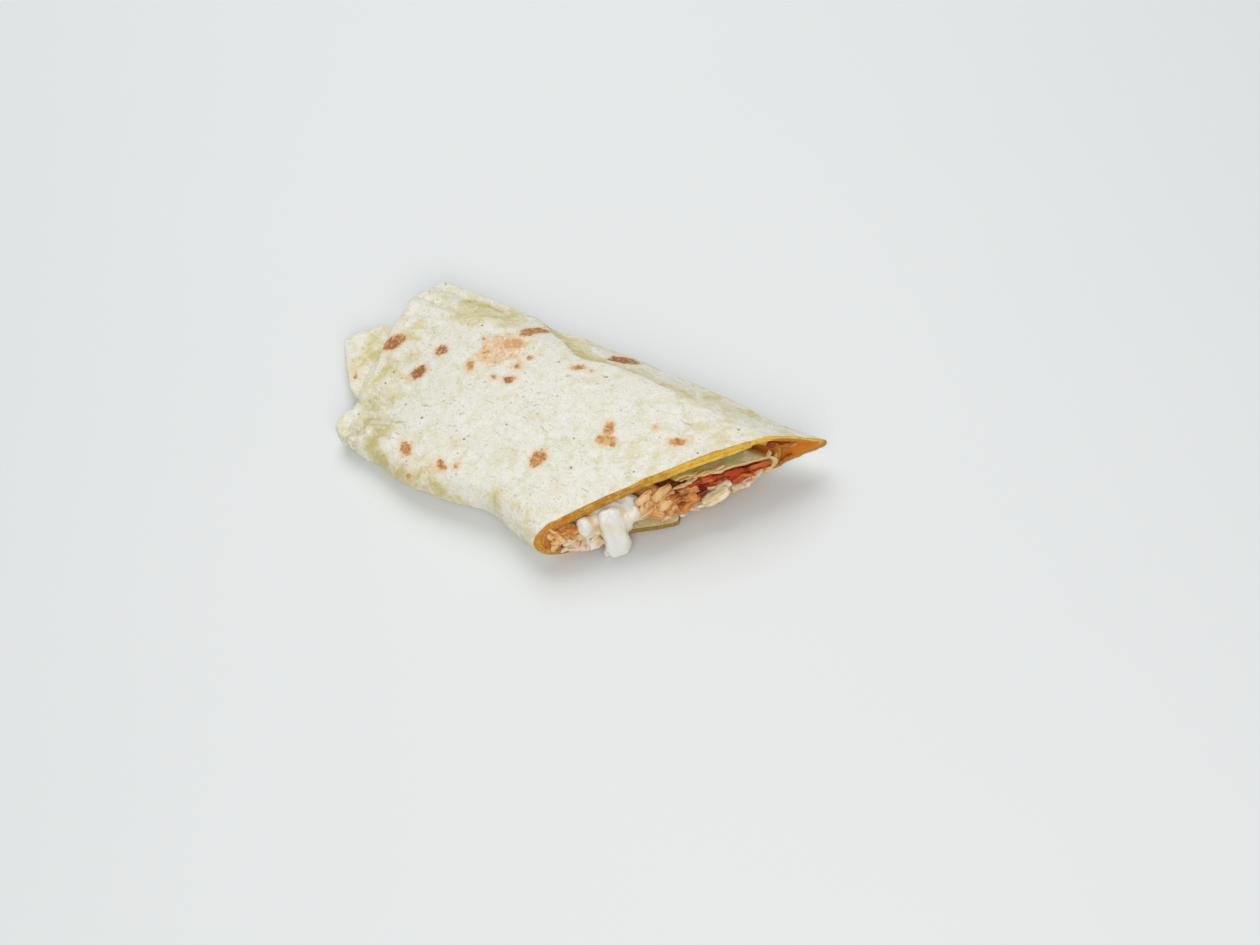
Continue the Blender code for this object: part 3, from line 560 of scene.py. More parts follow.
def griddled_skin():
    """Cream flour skin: mottled and floury, olive where fat has soaked through, dark flecks of bran, painted
    shade in the creases, past the top panel's edge and in the gap over the free flap, wide faint browning,
    and toast marks with a pale rim, a brown middle and a darker core. Sauce stains it gold inside the roll
    and orange in the folds."""
    finish, tree, shader, where = new_finish("griddled_skin", 0.6, 0.0, 0.04, (1.0, 0.8, 0.6))
    broad = grainy(tree, where, 62, 3, 0.55)
    smudge = grainy(tree, where, 150, 4, 0.62, 0.8)
    mottle = grainy(tree, where, 330, 5, 0.7, 0.6)
    fine = grainy(tree, where, 1250, 3, 0.6)
    colour = tinted(tree, step_up(tree, mottle, 0.40, 0.60), (0.88, 0.86, 0.785), (0.815, 0.80, 0.69))
    colour = over(tree, colour, step_up(tree, broad, 0.50, 0.68), 0.4, (0.835, 0.78, 0.635))
    colour = over(tree, colour, step_up(tree, smudge, 0.47, 0.76), 0.42, (0.73, 0.71, 0.535))
    colour = over(tree, colour, step_up(tree, smudge, 0.46, 0.34), 0.4, (0.885, 0.815, 0.735))
    # Olive where fat has soaked through, and painted shade tinted olive past the panel's edge, on the far
    # side and in the gap over the free flap
    olive = swayed(tree, swayed(tree, field_of(tree, "olive"), smudge, 2.2), mottle, 1.7)
    colour = over(tree, colour, step_up(tree, olive, 0.0, 0.80), 0.85, (0.75, 0.665, 0.35))
    colour = over(tree, colour, step_up(tree, olive, 0.60, 1.15), 0.8, (0.60, 0.505, 0.15))
    colour = over(tree, colour, step_up(tree, fine, 0.55, 0.72), 0.5, (0.91, 0.895, 0.83))
    colour = over(tree, colour, step_up(tree, fine, 0.46, 0.32), 0.55, (0.60, 0.575, 0.43))
    colour = over(tree, colour, flecks(tree, where, 340, 0.15, 0.45), 0.55, (0.50, 0.48, 0.31))
    colour = over(tree, colour, flecks(tree, where, 190, 0.075, 0.40), 0.8, (0.21, 0.185, 0.115))
    fibre = put(tree, "Mapping", None, Vector=where, Rotation=(0, 0, 0.6), Scale=(260, 1100, 500))
    dashes = grainy(tree, fibre.outputs["Vector"], 1.0, 1, 0.5, 1.2)
    colour = over(tree, colour, step_up(tree, dashes, 0.67, 0.75), 0.6, (0.43, 0.41, 0.27))
    # Painted shade, dark olive brown, in the creases and along the top panel's edge
    crease_shade = swayed(tree, field_of(tree, "crease_shade"), mottle, 1.0)
    colour = over(tree, colour, step_up(tree, crease_shade, 0.2, 0.9), 0.5, (0.52, 0.46, 0.27))
    grain = grainy(tree, where, 800, 3, 0.65)
    browned = step_up(tree, field_of(tree, "blush"), 0.02, 0.3)
    blush = swayed(tree, swayed(tree, field_of(tree, "blush"), mottle, 3.4), grain, 2.6)
    blush = reckon(tree, "MULTIPLY", blush, browned)
    colour = over(tree, colour, step_up(tree, blush, 0.15, 0.75), 0.85, (0.83, 0.545, 0.285))
    colour = over(tree, colour, step_up(tree, blush, 0.80, 1.5), 0.85, (0.69, 0.34, 0.12))
    ragged = grainy(tree, where, 420, 4, 0.7)
    toast = swayed(tree, swayed(tree, field_of(tree, "toast"), ragged, 3.4), fine, 0.9)
    dark = field_of(tree, "toast_dark")
    colour = over(tree, colour, step_up(tree, toast, -1.7, 0.0), 0.65, (0.83, 0.63, 0.39))
    brown = tinted(tree, step_up(tree, dark, 0.0, 0.5), (0.84, 0.53, 0.24), (0.58, 0.22, 0.032))
    brown = tinted(tree, step_up(tree, dark, 0.45, 1.0), brown, (0.34, 0.09, 0.007))
    brown = over(tree, brown, step_up(tree, grain, 0.50, 0.62), 0.8, (0.84, 0.52, 0.20))
    brown = over(tree, brown, step_up(tree, grain, 0.47, 0.36), 0.7, (0.30, 0.085, 0.015))
    core = reckon(tree, "MULTIPLY", step_up(tree, toast, 0.1, 0.9), step_up(tree, fine, 0.50, 0.60))
    core = reckon(tree, "MULTIPLY", core, step_up(tree, dark, 0.1, 0.7))
    brown = over(tree, brown, core, 0.8, (0.26, 0.075, 0.016))
    colour = over(tree, colour, step_up(tree, toast, -0.35, 0.55), 0.92, brown)
    stain = swayed(tree, field_of(tree, "stain"), mottle, 0.6)
    colour = over(tree, colour, step_up(tree, stain, 0.15, 0.9), 0.92, (0.56, 0.36, 0.075))
    soaked = swayed(tree, field_of(tree, "juice"), mottle, 0.9)
    colour = over(tree, colour, step_up(tree, soaked, 0.35, 1.0), 0.94, (0.80, 0.28, 0.010))
    tree.links.new(colour, shader.inputs["Base Color"])
    gloss = reckon(tree, "MULTIPLY_ADD", step_up(tree, olive, 0.3, 0.95), -0.16, 0.66)
    tree.links.new(gloss, shader.inputs["Roughness"])
    height = reckon(tree, "ADD", reckon(tree, "MULTIPLY", mottle, 0.7), reckon(tree, "MULTIPLY", fine, 0.3))
    bumped(tree, shader, height, 0.75, 0.0009)
    return finish


def cut_crumb():
    """The knife's cut through the sheet: moist gold dough, brown where the sauce has soaked it,
    with a dark or a pale line along the faces where two layers meet."""
    finish, tree, shader, where = new_finish("cut_crumb", 0.52, 0.06, 0.05, (1.0, 0.55, 0.15))
    broad = grainy(tree, where, 110, 3)
    streak = grainy(tree, where, 460, 4, 0.65, 0.5)
    fine = grainy(tree, where, 1700, 3)
    bright = step_up(tree, swayed(tree, field_of(tree, "bright"), broad, 1.0), 0.1, 0.9)
    colour = tinted(tree, bright, (0.58, 0.25, 0.010), (0.90, 0.53, 0.035))
    colour = over(tree, colour, step_up(tree, streak, 0.46, 0.66), 0.5, (0.97, 0.66, 0.11))
    colour = over(tree, colour, step_up(tree, streak, 0.46, 0.34), 0.45, (0.50, 0.22, 0.012))
    soaked = swayed(tree, swayed(tree, field_of(tree, "soak"), streak, 0.8), broad, 0.6)
    colour = over(tree, colour, step_up(tree, soaked, 0.2, 0.9), 0.9, (0.50, 0.165, 0.010))
    pale = swayed(tree, field_of(tree, "pale"), streak, 0.9)
    colour = over(tree, colour, step_up(tree, pale, 0.2, 0.9), 0.85, (0.80, 0.56, 0.33))
    line = swayed(tree, field_of(tree, "line"), streak, 0.7)
    colour = over(tree, colour, step_up(tree, line, 0.25, 0.85), 0.8, (0.92, 0.76, 0.36))
    colour = over(tree, colour, step_up(tree, line, -0.3, -0.9), 0.85, (0.27, 0.15, 0.018))
    colour = over(tree, colour, step_up(tree, fine, 0.60, 0.72), 0.35, (0.95, 0.78, 0.38))
    tree.links.new(colour, shader.inputs["Base Color"])
    bumped(tree, shader, reckon(tree, "ADD", streak, fine), 0.7, 0.0007)
    return finish


skin_finish, crumb_finish = griddled_skin(), cut_crumb()


def skin_fields(points, outside):
    """The skin's fields where outside is 1: toast marks, how dark they are, faint browning, painted shade in
    the creases and along the panel's edge, and olive places, some of them painted shade, with a strip of
    painted shade just past that edge. The skin yellows towards the tip, the tucked end and the low front
    side."""
    toast, dark = near_places(points, toast_marks, 6)
    past, ends = beyond_panel(points)
    x, y = points[..., 0], points[..., 1]
    yellowed = 0.27 * ease(20 * mm, 66 * mm, x) + 0.15 * ease(-40 * mm, -66 * mm, x)
    yellowed += 0.16 * ease(-24 * mm, -38 * mm, y) * (1 - yellowed)
    # a strip of painted shade, tinted olive, in the valley just past the panel's edge
    strip = ends * ease(-0.4 * mm, 0.6 * mm, past) * (1 - ease(2.5 * mm, 8 * mm, past))
    # a thin line of painted shade just past the panel's edge, laid in with the creases' painted shade
    edge = 0.85 * ends * np.exp(-(((past - 0.5 * mm) / (0.8 * mm)) ** 2))
    return {
        "toast": np.where(outside > 0.5, toast, -6),
        "toast_dark": dark,
        "blush": soft_spots(points, blushes, -1.2, 2.6) * outside,
        "crease_shade": np.maximum(crease_valleys(points)[1], edge) * outside,
        "olive": np.maximum(soft_spots(points, olive_and_shade_places, -1.8, 1.8) + yellowed, strip) * outside,
    }


# How soaked the cut dough is, how pale and how thick, one value for each run of the path
soak_of_run = np.array((0.25, 0.3, 0.35, 1.1, 0.1, 0.8, 0.6, 0.35, 0.0, 0.9, 0.9))
pale_of_run = np.array((0.7, 0.75, 0.2, 0.0, 0.0, 0.3, 0.05, 0.05, 0.0, 0.1, 0.1))
thick_of_run = np.array((0.55, 0.6, 1.0, 1.0, 1.0, 0.5, 1.0, 1.0, 1.0, 1.0, 1.0))

# Shares of the half thickness round the ribbon's edge, and the cut's bulge at the inner ones
ribbon_through = np.array((1.0, 0.72, 0.38, 0.0, -0.38, -0.72, -1.0))
cut_bulge = np.array((0.55, 0.9, 1.0, 0.9, 0.55))


def sheet_fields(points, shown, run, through, to_cut, across):
    """The sheet's fields. run is each point's run of the path, through its share of the half thickness,
    to_cut and across its distances in mm. Hidden faces are stained by the sauce and the free flap and the
    lip are olive; the free flap's top is stained and olive more towards its free edge, painted shade from
    the layer over it. On the cut, line is dark below 0 and pale above it."""
    fields = skin_fields(points, shown)
    hidden = 1 - shown
    flap_top = (run == free_flap) & (through > 0)
    lip_top = (run == lower_lip) & (through < 0)
    in_tip = ease(60, 66, across) * (run >= right_turn)
    in_fold = ease(16, 9, across) * (run >= lower_lip) * (run <= outer_turn)
    # The flap's top grows darker and more olive towards its free edge: painted shade of the gap under the
    # layer over it
    pale_flap = flap_top * (0.45 + 0.5 * ease(43, 57, across))
    fields["stain"] = hidden * (0.5 + 0.45 * ease(26, 2, to_cut)) * (1 - pale_flap - 0.9 * lip_top)
    flap_olive_and_shade = flap_top * (1.3 - 0.6 * ease(47, 60, across)) + 0.8 * lip_top
    fields["olive"] = np.maximum(fields["olive"], flap_olive_and_shade)
    wet = ease(0.9, 0.1, to_cut) * shown * 0.75
    fields["juice"] = np.maximum(wet, hidden * (1 - flap_top) * (1.15 * in_tip + 0.8 * in_fold))
    face = ease(0.3, 1.0, np.abs(through)) * np.sign(through)
    line = np.where(run == top_layer, -0.75 * (face > 0) * np.abs(face), 0.0)
    line = np.where(run == second_layer, np.where(face > 0, 0.7, -0.95) * np.abs(face), line)
    line = np.where((run == left_turn) | (run == lower_lip), -0.7 * np.abs(face), line)
    line = line - 0.75 * (run == lower_lip) * ease(21, 24, across) * ease(39, 36, across)
    line = np.where(run == seam_layer, 0.5 * (face > 0), line)
    fields["line"] = line
    fields["bright"] = ease(22, 48, across)
    return fields


def sheet_caps(at, count, levels, stations, ring_length, first_number):
    """The cut face and the hidden face at the other end: a net of points in from each end ring,
    bulged and rough on the cut. It gives the faces, the points, and each point's share of the
    half thickness and path number, the cut first."""
    through = ribbon_through[1:-1]
    faces, places, shares, numbers_of = [], [], [], []
    for station, push in ((stations - 1, 0.3 * mm), (0, 0.0)):
        k_inner, t_inner = np.meshgrid(np.arange(1, count - 1), through, indexing="ij")
        inner = settled(at(np.full_like(k_inner, station), k_inner, t_inner))
        rough = 0.2 * mm * waves(inner, 3.2 * mm, 31) + 0.16 * mm * waves(inner, 1.3 * mm, 32)
        inner[..., 0] += push * cut_bulge + rough * (push > 0)
        numbers = np.empty((count, levels + 2), int)
        start = station * ring_length
        numbers[:, 0] = start + np.arange(count)
        numbers[:, -1] = start + count + levels + np.arange(count)[::-1]
        numbers[-1, 1:-1] = start + count + np.arange(levels)
        numbers[0, 1:-1] = start + 2 * count + levels + np.arange(levels)[::-1]
        numbers[1:-1, 1:-1] = first_number + np.arange(k_inner.size).reshape(-1, levels)
        first_number += k_inner.size
        corners = (numbers[:-1, :-1], numbers[1:, :-1], numbers[1:, 1:], numbers[:-1, 1:])
        quads = np.stack(corners, axis=-1).reshape(-1, 4)
        faces.append(quads if station else quads[:, ::-1])
        places.append(inner.reshape(-1, 3))
        shares.append(t_inner.ravel())
        numbers_of.append(k_inner.ravel())
    return faces, places, shares, numbers_of


def rolled_sheet():
    """The sheet as a closed ribbon: its section's middle line moved half a thickness to either
    side, carried along the roll, with rounded free edges and a doughy cut face."""
    along = np.concatenate((np.linspace(0, 0.965, 114), np.linspace(0.972, 1.0, 8)))[:, None]
    path, poke, outer, which = rolled_path(along)
    direction = np.gradient(path, axis=1)
    direction /= np.linalg.norm(direction, axis=-1)[..., None]
    normal = np.stack((-direction[..., 1], direction[..., 0]), axis=-1)
    stations, count = path.shape[:2]
    levels = len(ribbon_through) - 2
    half_thick = evened(thick_of_run[which], 6) * sheet / 2

    def at(station, k, t):
        """Points of the ribbon at stations, path numbers and shares of the half thickness."""
        section = path[station, k] + normal[station, k] * (t * half_thick[k])[..., None]
        flat = plan(along[station, 0], section[..., 0])
        shift = poke[k] * ease(cut_zone, 1.0, along[station, 0])
        return np.concatenate((flat + shift[..., None] * (1, 0), section[..., 1:]), axis=-1)

    ring_k = np.concatenate((np.arange(count), np.full(levels, count - 1),
                             np.arange(count)[::-1], np.zeros(levels, int)))
    ring_t = np.concatenate((np.ones(count), ribbon_through[1:-1],
                             -np.ones(count), ribbon_through[-2:0:-1]))
    station_grid, k_grid = np.meshgrid(np.arange(stations), ring_k, indexing="ij")
    t_grid = np.broadcast_to(ring_t, k_grid.shape)
    ring = settled(at(station_grid, k_grid, t_grid))
    outside = ((outer[k_grid] == 1) & (t_grid > 0)).astype(float)
    covered = (which[k_grid] == underside) & (path[station_grid, k_grid, 0] > seam_end - 1 * mm)
    outside *= ~covered
    # relief only where the skin is open to the air
    skin = ring[:, :count]
    out = outward_of(skin, -20, np.argmax(path[-1, :, 1]))
    lift = skin_relief(skin) * outside[:, :count] * ease(0.4 * mm, 3 * mm, skin[..., 2])
    ring[:, :count] += out * lift[..., None]
    # the two top layers part by a hair where they meet at the cut
    pressed_side = (which[ring_k] == top_layer) & (ring_t < 0)
    pressed_side |= (which[ring_k] == second_layer) & (ring_t > 0)
    ring[-1, pressed_side, 0] += 0.3 * mm
    caps, cap_points, cap_t, cap_k = sheet_caps(at, count, levels, stations, len(ring_k),
                                                ring.shape[0] * ring.shape[1])
    sides = grid_faces(stations, len(ring_k), True)
    points = np.concatenate((ring.reshape(-1, 3), *cap_points))
    quads = np.concatenate((sides, *caps))
    k_all = np.concatenate((k_grid.ravel(), *cap_k))
    through = np.concatenate((t_grid.ravel(), *cap_t))
    shown = np.concatenate((outside.ravel(), np.zeros(len(points) - outside.size)))
    along_all = np.concatenate((along[station_grid, 0].ravel(), np.ones(len(cap_k[0])),
                                np.zeros(len(cap_k[1]))))
    run, across = which[k_all], path[-1, k_all, 0] / mm
    fields = sheet_fields(points, shown, run, through, (1 - along_all) * 110, across)
    tip_soak = ease(63, 68, across) * (run == top_layer) * ease(0.5, -0.2, through)
    fields["soak"] = evened(soak_of_run[which], 3)[k_all] + tip_soak
    pale_bow = 0.25 * ease(9, 2, across) * (run == top_layer)
    fields["pale"] = np.maximum(evened(pale_of_run[which], 3)[k_all], pale_bow)
    cut_faces = np.zeros(len(quads), int)
    cut_faces[len(sides):len(sides) + len(caps[0])] = 1
    return food_piece("tortilla_sheet", points, quads, no_triangles, (skin_finish, crumb_finish), fields,
                      "tortilla", "tortilla", second=cut_faces)


sheet_piece = rolled_sheet()
sheet_piece.data.set_sharp_from_angle(angle=math.radians(55))


# ---- The tucked end -------------------------------------------------------------------------
# Before rolling, the sheet's side was folded in over the filling, so this end is a stack of
# soft rounded folds pressed together, and two corners of the folded-in side stick out as ears.

end_round, end_start = 5.6 * mm, 0.10
# Valleys over its face: height as a share of the half height, slope, sway and depth in mm
end_valleys = ((0.28, 0.004, 0.10, 1.5), (-0.30, -0.006, 0.12, 1.3), (0.62, 0.003, 0.06, 0.7))


def envelope(along, inset):
    """Closed outline round the whole roll at each station, moved in by inset."""
    left = left_of(along)
    line = np.concatenate((
        layer(top_outer, left, tip_fold, 96, along), folded(tip_fold, top_outer, seam_flap, 1, 10, along),
        layer(seam_flap, tip_fold, seam_end, 30, along), layer(bottom_outer, 41 * mm, left, 40, along),
        folded(left, bottom_outer, top_outer, -1, 34, along)), axis=1)
    wrapped = np.concatenate((line[:, -3:], line, line[:, :3]), axis=1)
    line = sum(wrapped[:, i:i + line.shape[1]] for i in range(7)) / 7
    direction = np.roll(line, -1, axis=1) - np.roll(line, 1, axis=1)
    direction /= np.linalg.norm(direction, axis=-1)[..., None]
    outward = np.stack((-direction[..., 1], direction[..., 0]), axis=-1)
    return line + outward * (sheet / 2 - inset)[..., None]


def tucked_end():
    """The end as rows of outlines: they rise out of the sheet just behind the end, round off
    over it by a quarter of a superellipse, and close in a soft ridge. Valleys run across the
    end face where one fold lies on the next."""
    straight = np.linspace(end_start, 0.0, 14)[:, None]
    inset = 0.5 * mm - 0.62 * mm * ease(end_start, 0.035, straight)
    rows = envelope(straight, inset)
    flat = plan(straight, rows[..., 0])
    body = np.concatenate((flat, rows[..., 1:]), axis=-1)
    outline = rows[-1]
    centre = (outline.max(axis=0) + outline.min(axis=0)) / 2
    angle = np.linspace(0, math.pi / 2, 27)[1:, None]
    height = centre[1] + (outline[:, 1] - centre[1]) * np.cos(angle) ** 0.75
    across = centre[0] + (outline[:, 0] - centre[0]) * (1 - 0.07 * (1 - np.cos(angle)))
    flat = plan(0.0, across)
    flat[..., 0] -= end_round * np.sin(angle)
    over = np.concatenate((flat, height[..., None]), axis=-1)
    points = np.concatenate((body, over))
    outward = np.concatenate((np.zeros((len(body), 1)), np.sin(angle) ** 2))
    level = (points[..., 2] - centre[1]) / (outline[:, 1].max() - centre[1])
    run = points[..., 1] / mm
    for rest, slope, sway, depth in end_valleys:
        valley = np.exp(-(((level - rest - slope * run - sway * np.sin(run / 9 + rest * 9)) / 0.11) ** 2))
        points[..., 0] += depth * mm * valley * outward
    slack = 0.8 * mm * waves(points * (0, 1, 0.6), 15 * mm, 41)
    slack += 0.5 * mm * waves(points * (0, 1, 1), 6 * mm, 42)
    points[..., 0] += slack * outward
    points = settled(points)
    out = outward_of(points, 2, 40)
    near_start = ease(end_start, 0.06, np.concatenate((straight, np.zeros_like(angle))))
    fade = ease(0.4 * mm, 3 * mm, points[..., 2]) * (1 - 0.6 * outward) * near_start
    points += out * (skin_relief(points) * fade)[..., None]
    points[..., 2] = np.maximum(points[..., 2], 0.02 * mm)
    rows_count, columns = points.shape[:2]
    quads = grid_faces(rows_count, columns, True)
    grid = points.reshape(-1, 3)
    inner_hub = grid[:columns].mean(axis=0)
    first, last = np.arange(columns), (rows_count - 1) * columns + np.arange(columns)
    top_half = last[: columns // 2]
    bottom_half = last[::-1][: columns // 2]
    bridge = np.stack((top_half[:-1], top_half[1:], bottom_half[1:], bottom_half[:-1]), axis=-1)
    fan = np.stack((np.roll(first, -1), first, np.full(columns, len(grid))), axis=-1)
    grid = np.concatenate((grid, inner_hub[None]))
    fields = skin_fields(grid, np.ones(len(grid)))
    # olive that deepens, by a quarter at most, where the end face rounds over
    end_rounding_olive = np.concatenate((np.broadcast_to(outward * 0.25, (rows_count, columns)).ravel(), [0]))
    fields["stain"] = np.zeros(len(grid))
    fields["juice"] = np.zeros(len(grid))
    fields["olive"] = np.maximum(fields["olive"], end_rounding_olive)
    return food_piece("tortilla_tucked_end", grid, np.concatenate((quads, bridge)), fan,
                      (skin_finish,), fields, "tortilla", "tortilla")


tucked_end()

# name: outline in plan, then height, thickness and rise in mm, and seed
ears = {
    "tortilla_ear_long": (
        ((-81.1, 12.6), (-85.6, 10.6), (-88.9, 6.6), (-91.2, 2.2), (-91.5, -1.8), (-88.6, -5.6),
         (-84.5, -9.8), (-80.4, -13.6), (-76.5, -17.0), (-72.8, -19.6), (-68.0, -20.0),
         (-68.5, -10.0), (-70.0, 2.0), (-73.0, 14.0)), 5.6, 4.4, -0.8, 51),
    "tortilla_ear_short": (
        ((-65.2, -25.4), (-67.4, -29.2), (-67.6, -32.4), (-66.8, -35.4), (-64.0, -37.6),
         (-60.0, -38.6), (-54.5, -38.2), (-51.0, -34.0), (-53.0, -27.0), (-59.0, -23.0)),
        6.4, 6.4, 0.4, 52),
}


def ear_flap(name, outline, height, thickness, rise, seed):
    """A doubled flap: a smooth closed outline shrunk towards its middle while the height runs
    over a half thickness by a superellipse, so both faces are flat and the folded rim is round."""
    corners = np.array(outline) * mm
    closed = np.concatenate((corners[-2:], corners, corners[:3]))
    knots = np.arange(len(closed)) - 2.0
    at_share = np.linspace(0, len(corners), 120, endpoint=False)
    ring = np.stack([curve(np.column_stack((knots, closed[:, i])), at_share) for i in (0, 1)], axis=-1)
    centre = ring.mean(axis=0)
    angle = np.linspace(-math.pi / 2, math.pi / 2, 35)[:, None]
    shrink = np.clip(np.cos(angle), 0.0, 1) ** 0.22 * 0.998 + 0.002
    flat = centre + (ring - centre) * shrink[..., None]
    reach = (centre[0] - flat[..., 0]) / np.ptp(ring[:, 0])
    level = height * mm + np.sin(angle) * thickness / 2 * mm + rise * mm * reach
    points = np.concatenate((flat, level[..., None]), axis=-1)
    slack = 0.5 * mm * waves(points * (1, 1, 0), 11 * mm, seed)
    slack += 0.18 * mm * waves(points, 4 * mm, seed + 1)
    points[..., 2] += slack * (shrink > 0.05)
    points[..., :2] -= (ring - centre)[None] * 0.05 * np.exp(-((np.sin(angle) / 0.2) ** 2))[..., None]
    rows, columns = points.shape[:2]
    quads = grid_faces(rows, columns, True)
    grid = points.reshape(-1, 3)
    grid = np.concatenate((grid, grid[:columns].mean(axis=0)[None], grid[-columns:].mean(axis=0)[None]))
    fields = skin_fields(grid, np.ones(len(grid)))
    fields["stain"] = fields["juice"] = np.zeros(len(grid))
    return food_piece(name, grid, quads, end_fans(rows, columns), (skin_finish,), fields,
                      "tortilla", "tortilla")


for ear_name, ear_values in ears.items():
    ear_flap(ear_name, *ear_values)


# ---- Rice -----------------------------------------------------------------------------------
# Long-grain rice cooked soft and stained by the sauce: a packed bed under all the other
# fillings, with loose grains lying this way and that where the knife has opened it.

out_of_cut = np.array((0.808, -0.589, 0.0))
filling_start = 0.15


def hollow(across, along):
    """Lowest and highest the filling can lie, with the hollow's rounded ends."""
    ones = np.ones_like(across)
    left = left_of(along)
    onto_inner = ease(33 * mm, 36.5 * mm, across)
    high = top_second(across, along) * (1 - onto_inner) + (top_inner(across, along) - 0.1 * mm) * onto_inner
    low = bottom_inner(across, along) + sheet / 2 + clear
    high = high - sheet / 2 - clear
    for edge, side, above in ((left, -1, top_second), (inner_fold * np.ones_like(along), 1, top_inner)):
        upper = above(edge * ones, along) - sheet / 2 - clear
        lower = bottom_inner(edge * ones, along) + sheet / 2 + clear
        radius = (upper - lower) / 2
        past = side * (across - edge)
        half = np.sqrt(np.maximum(radius**2 - np.clip(past, 0, 0.98 * radius) ** 2, 0))
        low = np.where(past > 0, (upper + lower) / 2 - half, low)
        high = np.where(past > 0, (upper + lower) / 2 + half, high)
    return low, high


cut_heading = math.radians(53.5)


def cut_frame(points):
    """Millimetres along the cut, out of it and up, for streaks that lie across the cut face."""
    along_cut = points[..., 0] * math.cos(cut_heading) + points[..., 1] * math.sin(cut_heading)
    return np.stack((along_cut, points @ out_of_cut, points[..., 2]), axis=-1) / mm


face_at = float(cut_frame(plan(1.0, np.array([30 * mm]))[0] @ np.eye(2, 3))[1])
cut_start = float(cut_frame(plan(1.0, np.array([0.0]))[0] @ np.eye(2, 3))[0])
cut_length = float(np.linalg.norm(tip - front_cut)) / across_all


def across_of(points):
    """How far across the roll points at the cut lie, in mm."""
    return (cut_frame(points)[..., 0] - cut_start) / cut_length


def packed_lump(across_span, height_span, reach, seed, columns=56, corner=0.3, rough=0.5, grainsize=3.0):
    """A filling piece as rows of rounded squares in its share of the hollow: it runs through the
    roll and domes out of the cut by reach, with a lumpy front. It gives points, quads, triangles,
    and each point's place along its streaks."""
    around = np.linspace(0, 2 * math.pi, columns, endpoint=False)
    ring = np.stack((np.cos(around), np.sin(around)), axis=-1)
    ring /= (np.abs(ring) ** (1 / corner)).sum(axis=-1)[:, None] ** corner
    first, last = (v * mm for v in across_span)
    margin = 0.16 * mm
    inside = np.concatenate(([filling_start, filling_start + 0.012],
                             np.linspace(filling_start + 0.03, 1.0, 26)))
    shrink = np.concatenate(([0.45, 0.85], np.ones(26)))
    dome = np.linspace(0, math.pi / 2, 13)[1:-1]
    along = np.concatenate((inside, np.ones(len(dome))))[:, None]
    shrink = np.concatenate((shrink, np.cos(dome) ** 0.55))[:, None]
    push = np.concatenate((np.zeros(len(inside)), np.sin(dome)))[:, None] * reach * mm
    across = (first + last) / 2 + ring[:, 0] * shrink * ((last - first) / 2 - margin)
    low, high = hollow(across, along)
    bottom = low + (high - low) * height_span[0] + margin * (height_span[0] > 0)
    top = low + (high - low) * height_span[1] - margin * (height_span[1] < 1)
    height = (bottom + top) / 2 + ring[:, 1] * shrink * (top - bottom) / 2
    points = np.concatenate((plan(along, across), height[..., None]), axis=-1) + out_of_cut * push[..., None]
    front = ease(0.0, 0.5, push / (reach * mm))
    lumps = 0.7 * waves(points, grainsize * 1.6 * mm, seed)
    lumps += 0.5 * waves(points, grainsize * 0.6 * mm, seed + 1)
    points += out_of_cut * (rough * mm * lumps * front)[..., None]
    points = settled(points)
    rows = len(points)
    grid = points.reshape(-1, 3)
    nose = grid[-columns:].mean(axis=0) + out_of_cut * 0.1 * mm
    grid = np.concatenate((grid, (grid[:columns].mean(axis=0), nose)))
    return grid, grid_faces(rows, columns, True), end_fans(rows, columns), cut_frame(grid)


def joined(parts):
    """Several (points, quads, triangles, streak places, tint) sets as one."""
    points, quads, triangles, streaks, tints, base = [], [], [], [], [], 0
    for part_points, part_quads, part_triangles, streak, tint in parts:
        points.append(part_points)
        quads.append(part_quads + base)
        triangles.append(part_triangles + base)
        streaks.append(streak)
        tints.append(np.broadcast_to(tint, len(part_points)))
        base += len(part_points)
    fields = {"streak": np.concatenate(streaks), "tint": np.concatenate(tints)}
    return np.concatenate(points), np.concatenate(quads), np.concatenate(triangles), fields


def at_cut(across, height, out):
    """Places on the cut face from millimetres across, up and out of it."""
    across = np.asarray(across, float) * mm
    flat = plan(np.ones_like(across), across)
    place = np.concatenate((flat, (np.ones_like(across) * height * mm)[..., None]), axis=-1)
    return place + out_of_cut * (np.ones_like(across) * out * mm)[..., None]


def turns(heading, lean, roll):
    """Rotation matrices, one a grain: roll about its own length, lean, then heading about +Z."""
    ch, sh, cl, sl, cr, sr = (f(a) for a in (heading, lean, roll) for f in (np.cos, np.sin))
    zero, one = np.zeros_like(ch), np.ones_like(ch)
    about_z = np.stack((ch, -sh, zero, sh, ch, zero, zero, zero, one), axis=-1).reshape(-1, 3, 3)
    about_y = np.stack((cl, zero, sl, zero, one, zero, -sl, zero, cl), axis=-1).reshape(-1, 3, 3)
    about_x = np.stack((one, zero, zero, zero, cr, -sr, zero, sr, cr), axis=-1).reshape(-1, 3, 3)
    return about_z @ about_y @ about_x


